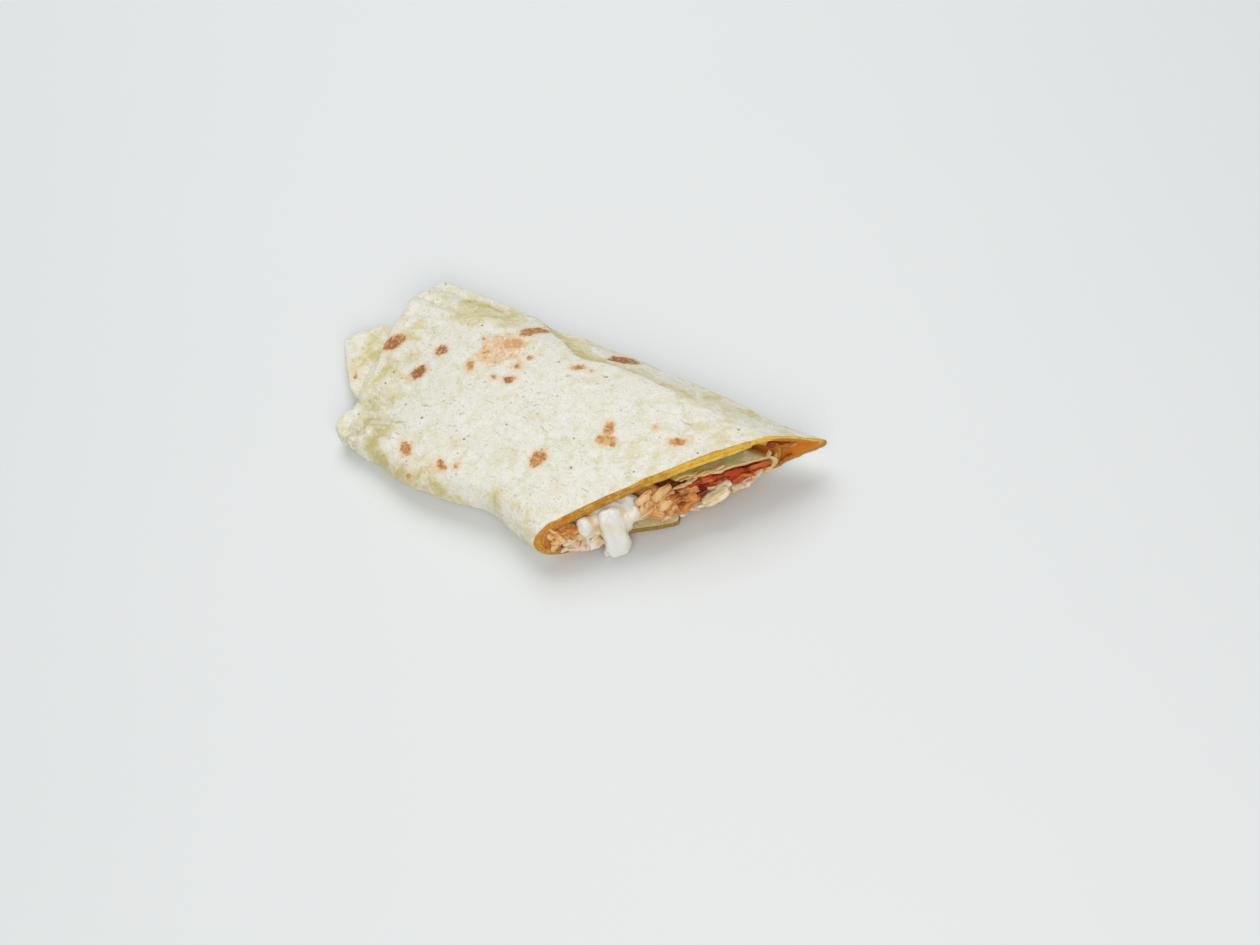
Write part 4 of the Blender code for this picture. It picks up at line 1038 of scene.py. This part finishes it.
def bean_shapes(centres, sizes, headings, leans, rolls, bend, tint,
                sides=10, steps=11, blunt=2.6, rough=0.0, seed=1):
    """Many grains or torn chunks at once: a spindle whose width follows a superellipse of its
    length, slightly bent, scaled, turned and moved for each one as one array. With rough, its
    sides go in and out by that many mm, in ridges along it and in lumps."""
    t = -np.cos(np.linspace(0, math.pi, steps + 2))[1:-1]
    width = (1 - np.abs(t) ** blunt) ** (1 / blunt)
    angle = np.linspace(0, 2 * math.pi, sides, endpoint=False)
    girth = (width[:, None] * np.cos(angle), width[:, None] * np.sin(angle))
    shape = np.stack(np.broadcast_arrays(t[:, None], *girth), axis=-1)
    shape = np.concatenate((shape.reshape(-1, 3), ((-1, 0, 0), (1, 0, 0))))
    scaled = shape[None] * sizes[:, None] * mm / 2
    scaled[..., 2] += bend[:, None] * mm * (shape[None, :, 0] ** 2 - 0.3)
    turn = turns(headings, leans, rolls)
    placed = np.einsum("nij,nvj->nvi", turn, scaled) + centres[:, None]
    each = np.arange(len(centres))[:, None]
    if rough:
        sideways = shape[None] * (0.4, 1, 1) * np.ones((len(centres), 1, 1))
        radial = np.einsum("nij,nvj->nvi", turn, sideways)
        spin = np.arctan2(shape[:, 2], shape[:, 1])[None]
        ridge = np.cos(spin * 7 + each * 1.7 + 1.4 * waves(placed, 4 * mm, seed + 2))
        lump = 0.6 * waves(placed, 2.8 * mm, seed) + 0.3 * waves(placed, 1.2 * mm, seed + 1) + 0.3 * ridge
        placed += radial * (rough * mm * lump)[..., None]
    offsets = each[:, None] * len(shape)
    quads, triangles = grid_faces(steps, sides, True) + offsets, end_fans(steps, sides) + offsets
    streak = scaled / mm + each[:, None] * 9.7
    return (placed.reshape(-1, 3), quads.reshape(-1, 4), triangles.reshape(-1, 3),
            streak.reshape(-1, 3), np.repeat(tint, len(shape)))


def soft_rice():
    """Cooked grains: nearly white, glossy with moisture, pinkish orange where sauce clings."""
    finish, tree, shader, where = new_finish("soft_rice", 0.38, 0.2, 0.12, (1.0, 0.6, 0.35))
    stain = grainy(tree, where, 230, 3)
    tint = field_of(tree, "tint")
    colour = tinted(tree, tint, (0.83, 0.71, 0.54), (0.56, 0.22, 0.045))
    sauce = reckon(tree, "MULTIPLY", step_up(tree, stain, 0.48, 0.70), 0.75)
    colour = tinted(tree, sauce, colour, (0.68, 0.33, 0.11))
    fine = grainy(tree, where, 900, 3)
    colour = over(tree, colour, step_up(tree, fine, 0.55, 0.75), 0.4, (0.90, 0.83, 0.72))
    tree.links.new(colour, shader.inputs["Base Color"])
    bumped(tree, shader, grainy(tree, where, 1200, 3), 0.3, 0.0004)
    return finish


rice_finish = soft_rice()


# Rows of grains: first and last place across, step, height over the sheet and reach out, in mm
rice_rows = (
    (8.0, 17.5, 1.5, 1.2, 3.1), (8.5, 18.0, 1.6, 2.7, 2.9), (7.0, 16.0, 1.8, 4.0, 2.6),
    (9.0, 16.5, 2.0, 0.8, 4.4), (36.0, 59.5, 2.3, 1.3, 2.9), (37.0, 58.0, 2.4, 2.5, 2.3),
    (35.0, 60.0, 3.2, 0.9, 4.0), (36.0, 44.5, 2.0, 3.5, 2.4), (19.0, 24.0, 2.0, 2.6, 1.8),
    (36.0, 60.0, 2.6, 3.0, 1.4), (22.0, 37.0, 2.3, 0.9, 0.9), (23.0, 36.5, 2.4, 2.3, 0.6),
    (22.5, 37.0, 2.6, 3.6, 0.8),
)


def rice_bed():
    """A packed bed that stands back below the chicken in the middle, with whole grains over its
    front in the rows above."""
    rng = np.random.default_rng(12)
    bed = packed_lump((5.0, 61.0), (0.0, 0.3), 2.2, 61, columns=120, corner=0.2, rough=0.7, grainsize=2.4)
    place = across_of(bed[0])
    back = ease(21, 25, place) * ease(38, 35, place) * ease(0.2, 1.5, cut_frame(bed[0])[:, 1] - face_at)
    bed[0][:] -= out_of_cut * (2.4 * mm * back)[:, None]
    across, height, out = [], [], []
    for first, last, step, up, forward in rice_rows:
        row = np.arange(first, last, step)
        row = row + rng.uniform(-0.6, 0.6, len(row))
        low, _ = hollow(row * mm, np.ones(len(row)))
        across.append(row)
        height.append(low / mm + up + rng.uniform(-0.3, 0.3, len(row)))
        out.append(forward + rng.uniform(-0.5, 0.6, len(row)))
    across, height, out = (np.concatenate(v) for v in (across, height, out))
    count = len(across)
    sizes = np.stack((rng.uniform(5.2, 6.6, count), rng.uniform(1.9, 2.4, count),
                      rng.uniform(1.6, 2.0, count)), axis=-1)
    heading = cut_heading + np.radians(rng.normal(0, 24, count))
    lean = np.radians(rng.normal(0, 13, count))
    roll, bend = rng.uniform(0, 6.28, count), rng.uniform(-0.5, 0.5, count)
    tint = rng.uniform(0, 0.7, count) ** 1.6
    grains = bean_shapes(settled(at_cut(across, height, out)), sizes, heading, lean,
                         roll, bend, tint, rough=0.05, seed=62)
    grains[0][:, 2] = np.maximum(grains[0][:, 2], 3.2 * mm)
    points, quads, triangles, fields = joined(((*bed, 0.8), grains))
    return food_piece("rice_bed", points, quads, triangles, (rice_finish,), fields, "rice", "rice")


rice_bed()


# ---- Sour cream -----------------------------------------------------------------------------
# Thick sour cream spooned along the roll on the rice. The knife drags it out, and a heavy lobe
# of it hangs over the rice and the lower lip of the sheet.

cream_turn = math.atan2(out_of_cut[1], out_of_cut[0])
cream_lobes = (
    # across, up, out, then thickness out, width and height in mm, lean in degrees, squareness
    (19.9, 9.7, 6.4, 5.0, 8.6, 18.6, -19, 4.2), (20.8, 15.0, 3.4, 4.6, 9.0, 4.6, 0, 2.6),
    (13.4, 13.4, 2.9, 4.8, 5.6, 7.4, -16, 2.6), (16.4, 12.0, 2.6, 4.0, 5.4, 8.4, -10, 2.4),
    (12.0, 9.6, 2.6, 3.6, 4.4, 5.0, -10, 2.2),
    (25.6, 13.4, 4.2, 5.0, 9.0, 6.4, 8, 2.6), (23.4, 10.4, 4.6, 4.8, 5.0, 7.0, 0, 2.6),
    (14.4, 5.4, 4.4, 3.8, 6.8, 4.4, 0, 2.6), (10.6, 4.4, 3.4, 3.2, 4.4, 3.0, 0, 2.0),
    (17.0, 1.8, 7.6, 2.6, 3.4, 4.4, 0, 2.0),
)


def cream_lobe(across, up, out, thickness, width, height, lean, square):
    """A rounded lobe: a superellipse in plan and up, squarer the larger its squareness is."""
    columns, rows = 48, 25
    around = np.linspace(0, 2 * math.pi, columns, endpoint=False)
    level = np.linspace(-math.pi / 2, math.pi / 2, rows + 2)[1:-1, None]
    power = 2 / square
    x = np.sign(np.cos(around)) * np.abs(np.cos(around)) ** power * np.cos(level) ** power
    y = np.sign(np.sin(around)) * np.abs(np.sin(around)) ** power * np.cos(level) ** power
    z = np.sign(np.sin(level)) * np.abs(np.sin(level)) ** power * np.ones_like(around)
    grid = np.stack((x, y, z), axis=-1).reshape(-1, 3)
    grid = np.concatenate((grid, ((0, 0, -1), (0, 0, 1)))) * np.array((thickness, width, height)) * mm / 2
    turn = turns(np.array([cream_turn]), np.radians(np.array([float(lean)])), np.zeros(1))[0]
    grid = grid @ turn.T + at_cut(np.array([across]), up, out)[0]
    return grid, grid_faces(rows, columns, True), end_fans(rows, columns), cut_frame(grid)


def thick_cream():
    """Glossy, dense and slightly warm white, yellow and orange where it meets sauce and oil."""
    finish, tree, shader, where = new_finish("thick_cream", 0.34, 0.22, 0.5, (1.0, 0.85, 0.65))
    stain = swayed(tree, field_of(tree, "stained"), grainy(tree, where, 170, 4, 0.6), 1.3)
    warm = step_up(tree, grainy(tree, where, 120, 3), 0.45, 0.68)
    colour = tinted(tree, warm, (0.80, 0.785, 0.735), (0.78, 0.73, 0.60))
    colour = over(tree, colour, step_up(tree, stain, 0.25, 0.8), 0.75, (0.76, 0.60, 0.32))
    colour = over(tree, colour, step_up(tree, stain, 0.75, 1.3), 0.7, (0.68, 0.36, 0.09))
    tree.links.new(colour, shader.inputs["Base Color"])
    bumped(tree, shader, grainy(tree, where, 420, 3), 0.25, 0.0008)
    return finish


cream_finish = thick_cream()


# Where the cream is stained: across, up, out, radius in mm
cream_stains = (
    (16.3, 12.0, 4.6, 2.8), (16.0, 7.0, 5.6, 2.8), (24.6, 8.0, 5.5, 2.4), (11.0, 9.0, 4.0, 3.2),
    (23.0, 15.5, 4.0, 2.6), (28.0, 13.0, 4.0, 4.0), (12.0, 3.0, 5.0, 2.4), (27.0, 8.0, 3.0, 3.5),
    (9.0, 6.0, 3.5, 2.2), (15.0, 15.8, 2.0, 2.4),
)


def sour_cream():
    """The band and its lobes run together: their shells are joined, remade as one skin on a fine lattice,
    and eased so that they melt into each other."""
    band = packed_lump((11.4, 29.0), (0.3, 1.0), 3.4, 71, columns=64, rough=0.9, grainsize=4.0)
    lobes = [(*cream_lobe(*values), 0.0) for values in cream_lobes]
    points, quads, triangles, _ = joined(((*band, 0.0), *lobes))
    piece = food_piece("sour_cream_lobes", points, quads, triangles, (cream_finish,), {},
                       "sour_cream", "sour_cream")
    bpy.context.view_layer.objects.active = piece
    remesh = piece.modifiers.new("one_skin", "REMESH")
    remesh.mode = "VOXEL"
    remesh.voxel_size = 0.4 * mm
    remesh.use_smooth_shade = True
    ease_out = piece.modifiers.new("melted", "SMOOTH")
    ease_out.factor = 0.6
    ease_out.iterations = 18
    whole = bpy.data.meshes.new_from_object(piece.evaluated_get(bpy.context.evaluated_depsgraph_get()))
    piece.modifiers.clear()
    piece.data = whole
    place = np.empty(len(whole.vertices) * 3)
    whole.vertices.foreach_get("co", place)
    place = place.reshape(-1, 3)
    facing = np.empty(len(whole.vertices) * 3)
    whole.vertices.foreach_get("normal", facing)
    ripple = 0.34 * mm * waves(place * (1, 1, 0.7), 5.0 * mm, 72) + 0.1 * mm * waves(place, 2.0 * mm, 73)
    place += facing.reshape(-1, 3) * ripple[:, None]
    place[:, 2] = np.maximum(place[:, 2], 0.3 * mm)
    whole.vertices.foreach_set("co", place.ravel())
    stained = np.zeros(len(place))
    for across, up, out, radius in cream_stains:
        away = np.linalg.norm(place - at_cut(np.array([across]), up, out)[0], axis=1) / mm
        stained = np.maximum(stained, ease(radius * 1.5, radius * 0.3, away))
    field = whole.attributes.new("stained", "FLOAT", "POINT")
    field.data.foreach_set("value", stained.astype(np.float32))
    whole.update()
    return piece


sour_cream()


# ---- Shredded chicken -----------------------------------------------------------------------
# Cooked breast pulled into fibres and turned in the sauce: pale beige inside, orange brown
# outside, with loose fibres standing off each clump.


def streaked(tree, length, width):
    """Noise drawn out along each piece's own length: streaks of that length and width in mm."""
    place = put(tree, "Attribute", {"attribute_name": "streak"}).outputs["Vector"]
    scale = (1 / length, 1 / width, 1 / width)
    drawn = put(tree, "Mapping", None, Vector=place, Scale=scale).outputs["Vector"]
    return grainy(tree, drawn, 1.0, 3, 0.6, 0.3)


def pulled_meat():
    """Cooked breast: fibres from pale beige to orange, browner where sauce has soaked in and, on the lumps
    between the chunks, as painted shade.
    """
    finish, tree, shader, where = new_finish("pulled_meat", 0.4, 0.22, 0.06, (1.0, 0.4, 0.2))
    tint = swayed(tree, field_of(tree, "tint"), grainy(tree, where, 240, 4, 0.6), 1.5)
    strand = streaked(tree, 5.0, 0.75)
    fine = grainy(tree, where, 1100, 3)
    colour = tinted(tree, step_up(tree, tint, 0.0, 0.55), (0.85, 0.55, 0.24), (0.74, 0.28, 0.032))
    colour = tinted(tree, step_up(tree, tint, 0.5, 1.1), colour, (0.32, 0.065, 0.008))
    colour = over(tree, colour, step_up(tree, strand, 0.54, 0.70), 0.45, (0.86, 0.62, 0.36))
    colour = over(tree, colour, step_up(tree, strand, 0.46, 0.32), 0.65, (0.34, 0.085, 0.012))
    colour = over(tree, colour, step_up(tree, fine, 0.58, 0.74), 0.3, (0.84, 0.62, 0.38))
    tree.links.new(colour, shader.inputs["Base Color"])
    height = reckon(tree, "ADD", reckon(tree, "MULTIPLY", strand, 1.4), reckon(tree, "MULTIPLY", fine, 0.4))
    bumped(tree, shader, height, 0.6, 0.0006)
    return finish


meat_finish = pulled_meat()


def span_of(across_span, height_span):
    """Middle across, half width, bottom and top in mm of a piece's share of the cut face."""
    middle, half = sum(across_span) / 2, (across_span[1] - across_span[0]) / 2
    low, high = (v[0] / mm for v in hollow(np.array([middle * mm]), np.ones(1)))
    return middle, half, low + (high - low) * height_span[0], low + (high - low) * height_span[1]


def chunks_on(span, reach, tint, spread, sizes, seed, heading=0.0, turn=25, lean=14, rough=0.36, flat=0.75):
    """Torn chunks over the front of a lump, in rows from the bottom up so that none stands alone:
    sizes gives shortest and longest length and width in mm, and count rows and columns."""
    middle, half, bottom, top = span
    rng = np.random.default_rng(seed)
    (short, long), (thin, thick), (rows, columns) = sizes
    u, v = np.meshgrid(np.linspace(-1, 1, columns) * (columns > 1), np.linspace(-1, 1, rows) * (rows > 1))
    u = np.clip(u.ravel() * 0.72 + rng.uniform(-0.25, 0.25, u.size), -0.8, 0.8)
    v = np.clip(v.ravel() * 0.86 + rng.uniform(-0.14, 0.14, v.size), -0.92, 0.92)
    count = u.size
    dome = 0.45 + 0.5 * np.sqrt(np.clip(1 - 0.7 * (u**2 + v**2), 0.02, 1))
    depth = reach * dome + rng.uniform(-0.7, 0.5, count)
    length, width = rng.uniform(short, long, count), rng.uniform(thin, thick, count)
    centres = settled(at_cut(middle + u * half, (bottom + top) / 2 + v * (top - bottom) / 2, depth))
    size = np.stack((length, width, width * flat * rng.uniform(0.8, 1.1, count)), axis=-1)
    headings = cut_heading + np.radians(heading + rng.normal(0, turn, count))
    leans = np.radians(rng.normal(0, lean, count))
    rolls, bends = rng.uniform(0, 6.28, count), rng.uniform(-0.5, 0.5, count)
    tints = np.clip(tint + rng.normal(0, spread, count), 0, 1.2)
    return bean_shapes(centres, size, headings, leans, rolls, bends, tints,
                       sides=22, steps=17, blunt=2.7, rough=rough, seed=seed)


def chicken_clump(name, node, across_span, height_span, reach, tint, seed, *layers):
    """A clump: a packed lump with torn chunks lying over its front. The lump is tinted darker than the
    largest chunks, partly sauce and partly painted shade in the gaps between them.
    """
    span = span_of(across_span, height_span)
    lump = packed_lump(across_span, height_span, reach - 0.5, seed, rough=1.1, grainsize=2.2)
    chunks = [chunks_on(span, reach, shade, 0.2, sizes, seed + i, heading)
              for i, (sizes, shade, heading) in enumerate(layers)]
    # the lump's tint: sauce, and painted shade between the chunks
    points, quads, triangles, fields = joined(((*lump, tint), *chunks))
    return food_piece(name, points, quads, triangles, (meat_finish,), fields, "chicken", node)


chicken_clump("chicken_shreds_left", "chicken_1", (4.6, 11.4), (0.33, 1.0), 3.2, 0.5, 81,
              (((4.6, 7.0), (2.2, 3.2), (4, 2)), 0.2, 14), (((2.4, 4.0), (1.0, 1.5), (4, 2)), 0.7, 0),
              (((3.5, 6.0), (0.5, 0.8), (7, 3)), 0.35, 4))
chicken_clump("chicken_shreds_middle", "chicken_2", (29.0, 35.6), (0.3, 0.97), 5.0, 0.4, 82,
              (((7.0, 9.6), (3.8, 5.0), (4, 2)), 0.12, 8), (((3.0, 5.0), (1.1, 1.8), (4, 1)), 0.6, -10),
              (((5.0, 8.0), (0.55, 0.95), (6, 3)), 0.3, 8))
chicken_clump("chicken_shreds_brown", "chicken_3", (35.6, 42.0), (0.3, 0.84), 5.6, 1.0, 83,
              (((6.2, 8.8), (3.2, 4.4), (4, 2)), 0.65, 8), (((2.6, 4.4), (1.0, 1.6), (4, 2)), 1.05, -8),
              (((4.5, 7.5), (0.55, 0.9), (6, 3)), 0.75, 2))


# ---- Red pepper -----------------------------------------------------------------------------
# Strips of sweet pepper fried soft, deep red and wet with sauce, folded over each other.


def fried_pepper():
    """Soft fried pepper: orange red to blackish red where tinted, streaked along each strip."""
    finish, tree, shader, where = new_finish("fried_pepper", 0.42, 0.08, 0.03, (1.0, 0.15, 0.08))
    shader.inputs["Specular IOR Level"].default_value = 0.35
    tint = swayed(tree, field_of(tree, "tint"), grainy(tree, where, 260, 4, 0.6), 1.5)
    strand = streaked(tree, 4.5, 0.9)
    colour = tinted(tree, step_up(tree, tint, 0.0, 0.6), (0.64, 0.17, 0.014), (0.44, 0.032, 0.003))
    colour = tinted(tree, step_up(tree, tint, 0.6, 1.2), colour, (0.13, 0.008, 0.005))
    colour = over(tree, colour, step_up(tree, strand, 0.56, 0.72), 0.35, (0.74, 0.26, 0.05))
    fine = grainy(tree, where, 700, 3)
    colour = over(tree, colour, step_up(tree, fine, 0.62, 0.76), 0.25, (0.84, 0.46, 0.22))
    tree.links.new(colour, shader.inputs["Base Color"])
    bumped(tree, shader, reckon(tree, "ADD", strand, grainy(tree, where, 1300, 2)), 0.5, 0.0006)
    return finish


pepper_finish = fried_pepper()


# A bit of pepper caught under the fold beside the filling: across, up and out in mm
caught_bit = (64.8, 20.4, 0.6)


def pepper_strip(name, node, across_span, height_span, reach, seed, *layers):
    """Soft strips along the cut over a packed lump, wide and flat, with shreds between them."""
    span = span_of(across_span, height_span)
    lump = packed_lump(across_span, height_span, reach - 1.4, seed, rough=1.0, grainsize=2.6)
    strips = [chunks_on(span, reach, shade, 0.18, sizes, seed + i, heading, 12, 9, 0.22, flat)
              for i, (sizes, shade, heading, flat) in enumerate(layers)]
    if node == "red_pepper_3":
        one, (across, up, out) = np.ones(1), caught_bit
        strips.append(bean_shapes(settled(at_cut(across * one, up, out)), np.array([[3.4, 2.0, 1.4]]),
                                  one * cut_heading, one * 0.3, one, one * 0, one * 0.9,
                                  sides=14, steps=13, rough=0.3, seed=seed))
    # The lump under the strips is tinted darkest: sauce, and painted shade in the gaps between the strips
    points, quads, triangles, fields = joined(((*lump, 1.0), *strips))
    return food_piece(name, points, quads, triangles, (pepper_finish,), fields, "red_pepper", node)


pepper_strip("pepper_strip_left", "red_pepper_1", (42.0, 45.4), (0.3, 1.0), 3.6, 91,
             (((4.4, 6.4), (2.6, 3.4), (4, 1)), 0.75, 4, 0.5),
             (((3.0, 4.6), (0.6, 1.0), (4, 1)), 0.4, 0, 0.6))
pepper_strip("pepper_strip_top", "red_pepper_2", (45.4, 53.0), (0.7, 1.0), 3.8, 92,
             (((7.5, 10.0), (2.4, 3.4), (2, 2)), 0.55, 0, 0.42),
             (((3.5, 6.0), (0.7, 1.1), (2, 3)), 0.3, 0, 0.6))
pepper_strip("pepper_strip_right", "red_pepper_3", (53.0, 61.6), (0.58, 1.0), 4.4, 93,
             (((7.0, 9.5), (2.6, 3.6), (2, 2)), 0.5, -3, 0.42),
             (((3.5, 6.0), (0.7, 1.1), (3, 3)), 0.35, 0, 0.6))


# ---- Onion ----------------------------------------------------------------------------------
# One large ivory piece whose layers show as fine stripes stands out furthest from the cut, and
# two smaller ones beside it are fried through, one glassy and one pink with sauce.

onion_pieces = {
    # node: across span, height span, reach, tint, then chunks as across, up, out, length, width,
    # thickness in mm and turn and lean in degrees
    "onion_1": ((45.4, 53.0), (0.3, 0.7), 4.4, 0.0,
                ((47.6, 10.9, 6.2, 10.4, 4.8, 3.0, -4, -22), (50.2, 12.6, 4.4, 6.0, 3.2, 2.4, 4, -10))),
    "onion_2": ((53.0, 57.6), (0.38, 0.58), 3.8, 0.35,
                ((54.0, 10.2, 4.2, 5.6, 3.0, 2.0, 10, 16), (55.8, 9.2, 3.8, 4.4, 2.8, 2.0, -14, -12))),
    "onion_3": ((57.6, 61.4), (0.38, 0.58), 3.0, 0.6,
                ((59.2, 11.6, 3.2, 4.6, 2.6, 1.8, 6, -20), (60.0, 12.6, 2.6, 3.4, 2.0, 1.6, -10, 10))),
}


def fried_onion():
    """Ivory and a little glassy, striped along its layers, tan and then pink where tinted."""
    finish, tree, shader, where = new_finish("fried_onion", 0.35, 0.25, 0.12, (1.0, 0.8, 0.5))
    tint = swayed(tree, field_of(tree, "tint"), grainy(tree, where, 170, 3), 0.7)
    stripe = streaked(tree, 9.0, 0.55)
    colour = tinted(tree, step_up(tree, stripe, 0.40, 0.62), (0.68, 0.50, 0.25), (0.92, 0.83, 0.61))
    colour = over(tree, colour, step_up(tree, tint, 0.1, 0.5), 0.55, (0.68, 0.49, 0.25))
    colour = over(tree, colour, step_up(tree, tint, 0.4, 0.9), 0.8, (0.74, 0.40, 0.24))
    tree.links.new(colour, shader.inputs["Base Color"])
    bumped(tree, shader, stripe, 0.5, 0.0006)
    return finish


onion_finish = fried_onion()


def onion_piece(node, across_span, height_span, reach, tint, chunks, seed):
    """An onion piece: a packed lump with its striped chunks lying over its front."""
    lump = packed_lump(across_span, height_span, reach - 0.6, seed, rough=0.5, grainsize=3.0)
    across, up, out, *size, turn, lean = np.array(chunks).T
    still = np.zeros(len(across))
    shapes = bean_shapes(settled(at_cut(across, up, out)), np.stack(size, axis=-1),
                         cut_heading + np.radians(turn), np.radians(lean), still + 0.4, still + 0.5,
                         np.full(len(across), tint), sides=26, steps=22, blunt=3.0, rough=0.2, seed=seed)
    points, quads, triangles, fields = joined(((*lump, tint + 0.35), shapes))
    return food_piece(node + "_slice", points, quads, triangles, (onion_finish,), fields, "onion", node)


for seed, (node, values) in enumerate(onion_pieces.items(), 95):
    onion_piece(node, *values, seed)


# ---- Torn strips of the sheet ---------------------------------------------------------------
# The knife has dragged thin shreds of dough along the inner layer's free edge, and a few into
# the pointed end of the outer turn.

# across, up, out, length, width, thickness in mm, turn and lean in degrees, and how soaked
torn_strips = (
    (41.0, 18.0, 2.6, 9.0, 1.7, 0.6, 2, -7, 0.1), (44.5, 19.2, 1.6, 9.0, 1.6, 0.5, -3, -6, 0.3),
    (42.4, 19.0, 0.8, 8.0, 1.4, 0.5, 4, -9, 0.45), (49.4, 19.4, 1.8, 7.0, 1.4, 0.5, 2, -3, 0.15),
    (63.4, 17.4, 1.6, 3.4, 1.7, 0.9, 20, -50, 0.2), (65.2, 14.6, 1.0, 4.0, 1.6, 0.9, 10, -64, 0.45),
    (68.0, 16.6, -0.6, 5.0, 1.6, 0.8, -6, 8, 0.8), (70.5, 15.0, -0.8, 4.4, 1.4, 0.8, 8, 4, 0.6),
    (66.0, 9.6, 0.6, 4.0, 1.7, 1.2, 10, -8, 0.9), (68.6, 10.6, 0.4, 3.6, 1.5, 1.1, -8, -16, 0.8),
)


def shreds():
    """Thin torn strips of dough that look as the crumb of the cut does."""
    across, up, out, *size, turn, lean, soak = np.array(torn_strips).T
    still = np.zeros(len(across))
    points, quads, triangles, _, soaked = bean_shapes(
        settled(at_cut(across, up, out)), np.stack(size, axis=-1), cut_heading + np.radians(turn),
        np.radians(lean), still, still + 0.5, soak, sides=14, steps=18, rough=0.42, seed=98)
    fields = {"soak": soaked, "pale": 0.9 - soaked, "line": 0 * soaked, "bright": 0.4 + 0 * soaked}
    return food_piece("tortilla_shreds", points, quads, triangles, (crumb_finish,), fields,
                      "tortilla", "tortilla")


shreds()


# ---- Floor, light and camera ----------------------------------------------------------------
# A plain pale table top, one broad soft light from behind and to the left, and a weak one in
# front.


def pale_floor():
    """A pale, faintly cloudy table top 0.2 mm under the half."""
    floor = bpy.data.meshes.new("floor")
    half = 2.0
    corners = [(-half, -half, 0), (half, -half, 0), (half, half, 0), (-half, half, 0)]
    floor.from_pydata(corners, [], [(0, 1, 2, 3)])
    finish, tree, shader, where = new_finish("pale_floor", 0.5)
    cloudy = tinted(tree, grainy(tree, where, 6, 2), (0.765, 0.79, 0.795), (0.785, 0.805, 0.81))
    tree.links.new(cloudy, shader.inputs["Base Color"])
    floor.materials.append(finish)
    piece = bpy.data.objects.new("floor", floor)
    bpy.context.scene.collection.objects.link(piece)
    piece.location.z = -0.0002


def area_light(name, place, target, size, power, colour):
    """A round area light at place, aimed at target: size in metres and power in watts."""
    lamp = bpy.data.lights.new(name, "AREA")
    lamp.shape = "DISK"
    lamp.size = size
    lamp.energy = power
    lamp.color = colour
    piece = bpy.data.objects.new(name, lamp)
    piece.location = place
    aim = np.array(target) - np.array(place)
    tilt = math.acos(-aim[2] / np.linalg.norm(aim))
    piece.rotation_euler = (tilt, 0, math.atan2(aim[1], aim[0]) - math.pi / 2)
    bpy.context.scene.collection.objects.link(piece)


def photographer():
    """The camera at the viewing angle, from its axes: right, up and back."""
    camera = bpy.data.cameras.new("camera")
    camera.sensor_width = 36
    camera.lens = 73.74
    piece = bpy.data.objects.new("camera", camera)
    bpy.context.scene.collection.objects.link(piece)
    right = (0.79647, 0.58625, -0.14816)
    up = (-0.38777, 0.68319, 0.61878)
    back = (0.46398, -0.43538, 0.77147)
    turn = Matrix((right, up, back)).transposed().to_4x4()
    turn.translation = (0.44777, -0.38403, 0.68909)
    piece.matrix_world = turn
    bpy.context.scene.camera = piece


pale_floor()
area_light("soft_window", (-0.55, 0.55, 1.15), (0, 0, 0), 1.1, 8.7, (1.0, 0.985, 0.96))
area_light("front_fill", (0.75, -0.75, 0.85), (0, 0, 0), 1.0, 9.1, (1.0, 0.97, 0.93))
photographer()
world = bpy.context.scene.world or bpy.data.worlds.new("room")
bpy.context.scene.world = world
world.use_nodes = True
world.node_tree.nodes["Background"].inputs["Color"].default_value = (0.93, 0.97, 1.0, 1)
world.node_tree.nodes["Background"].inputs["Strength"].default_value = 0.4
bpy.context.scene.view_settings.view_transform = "Standard"
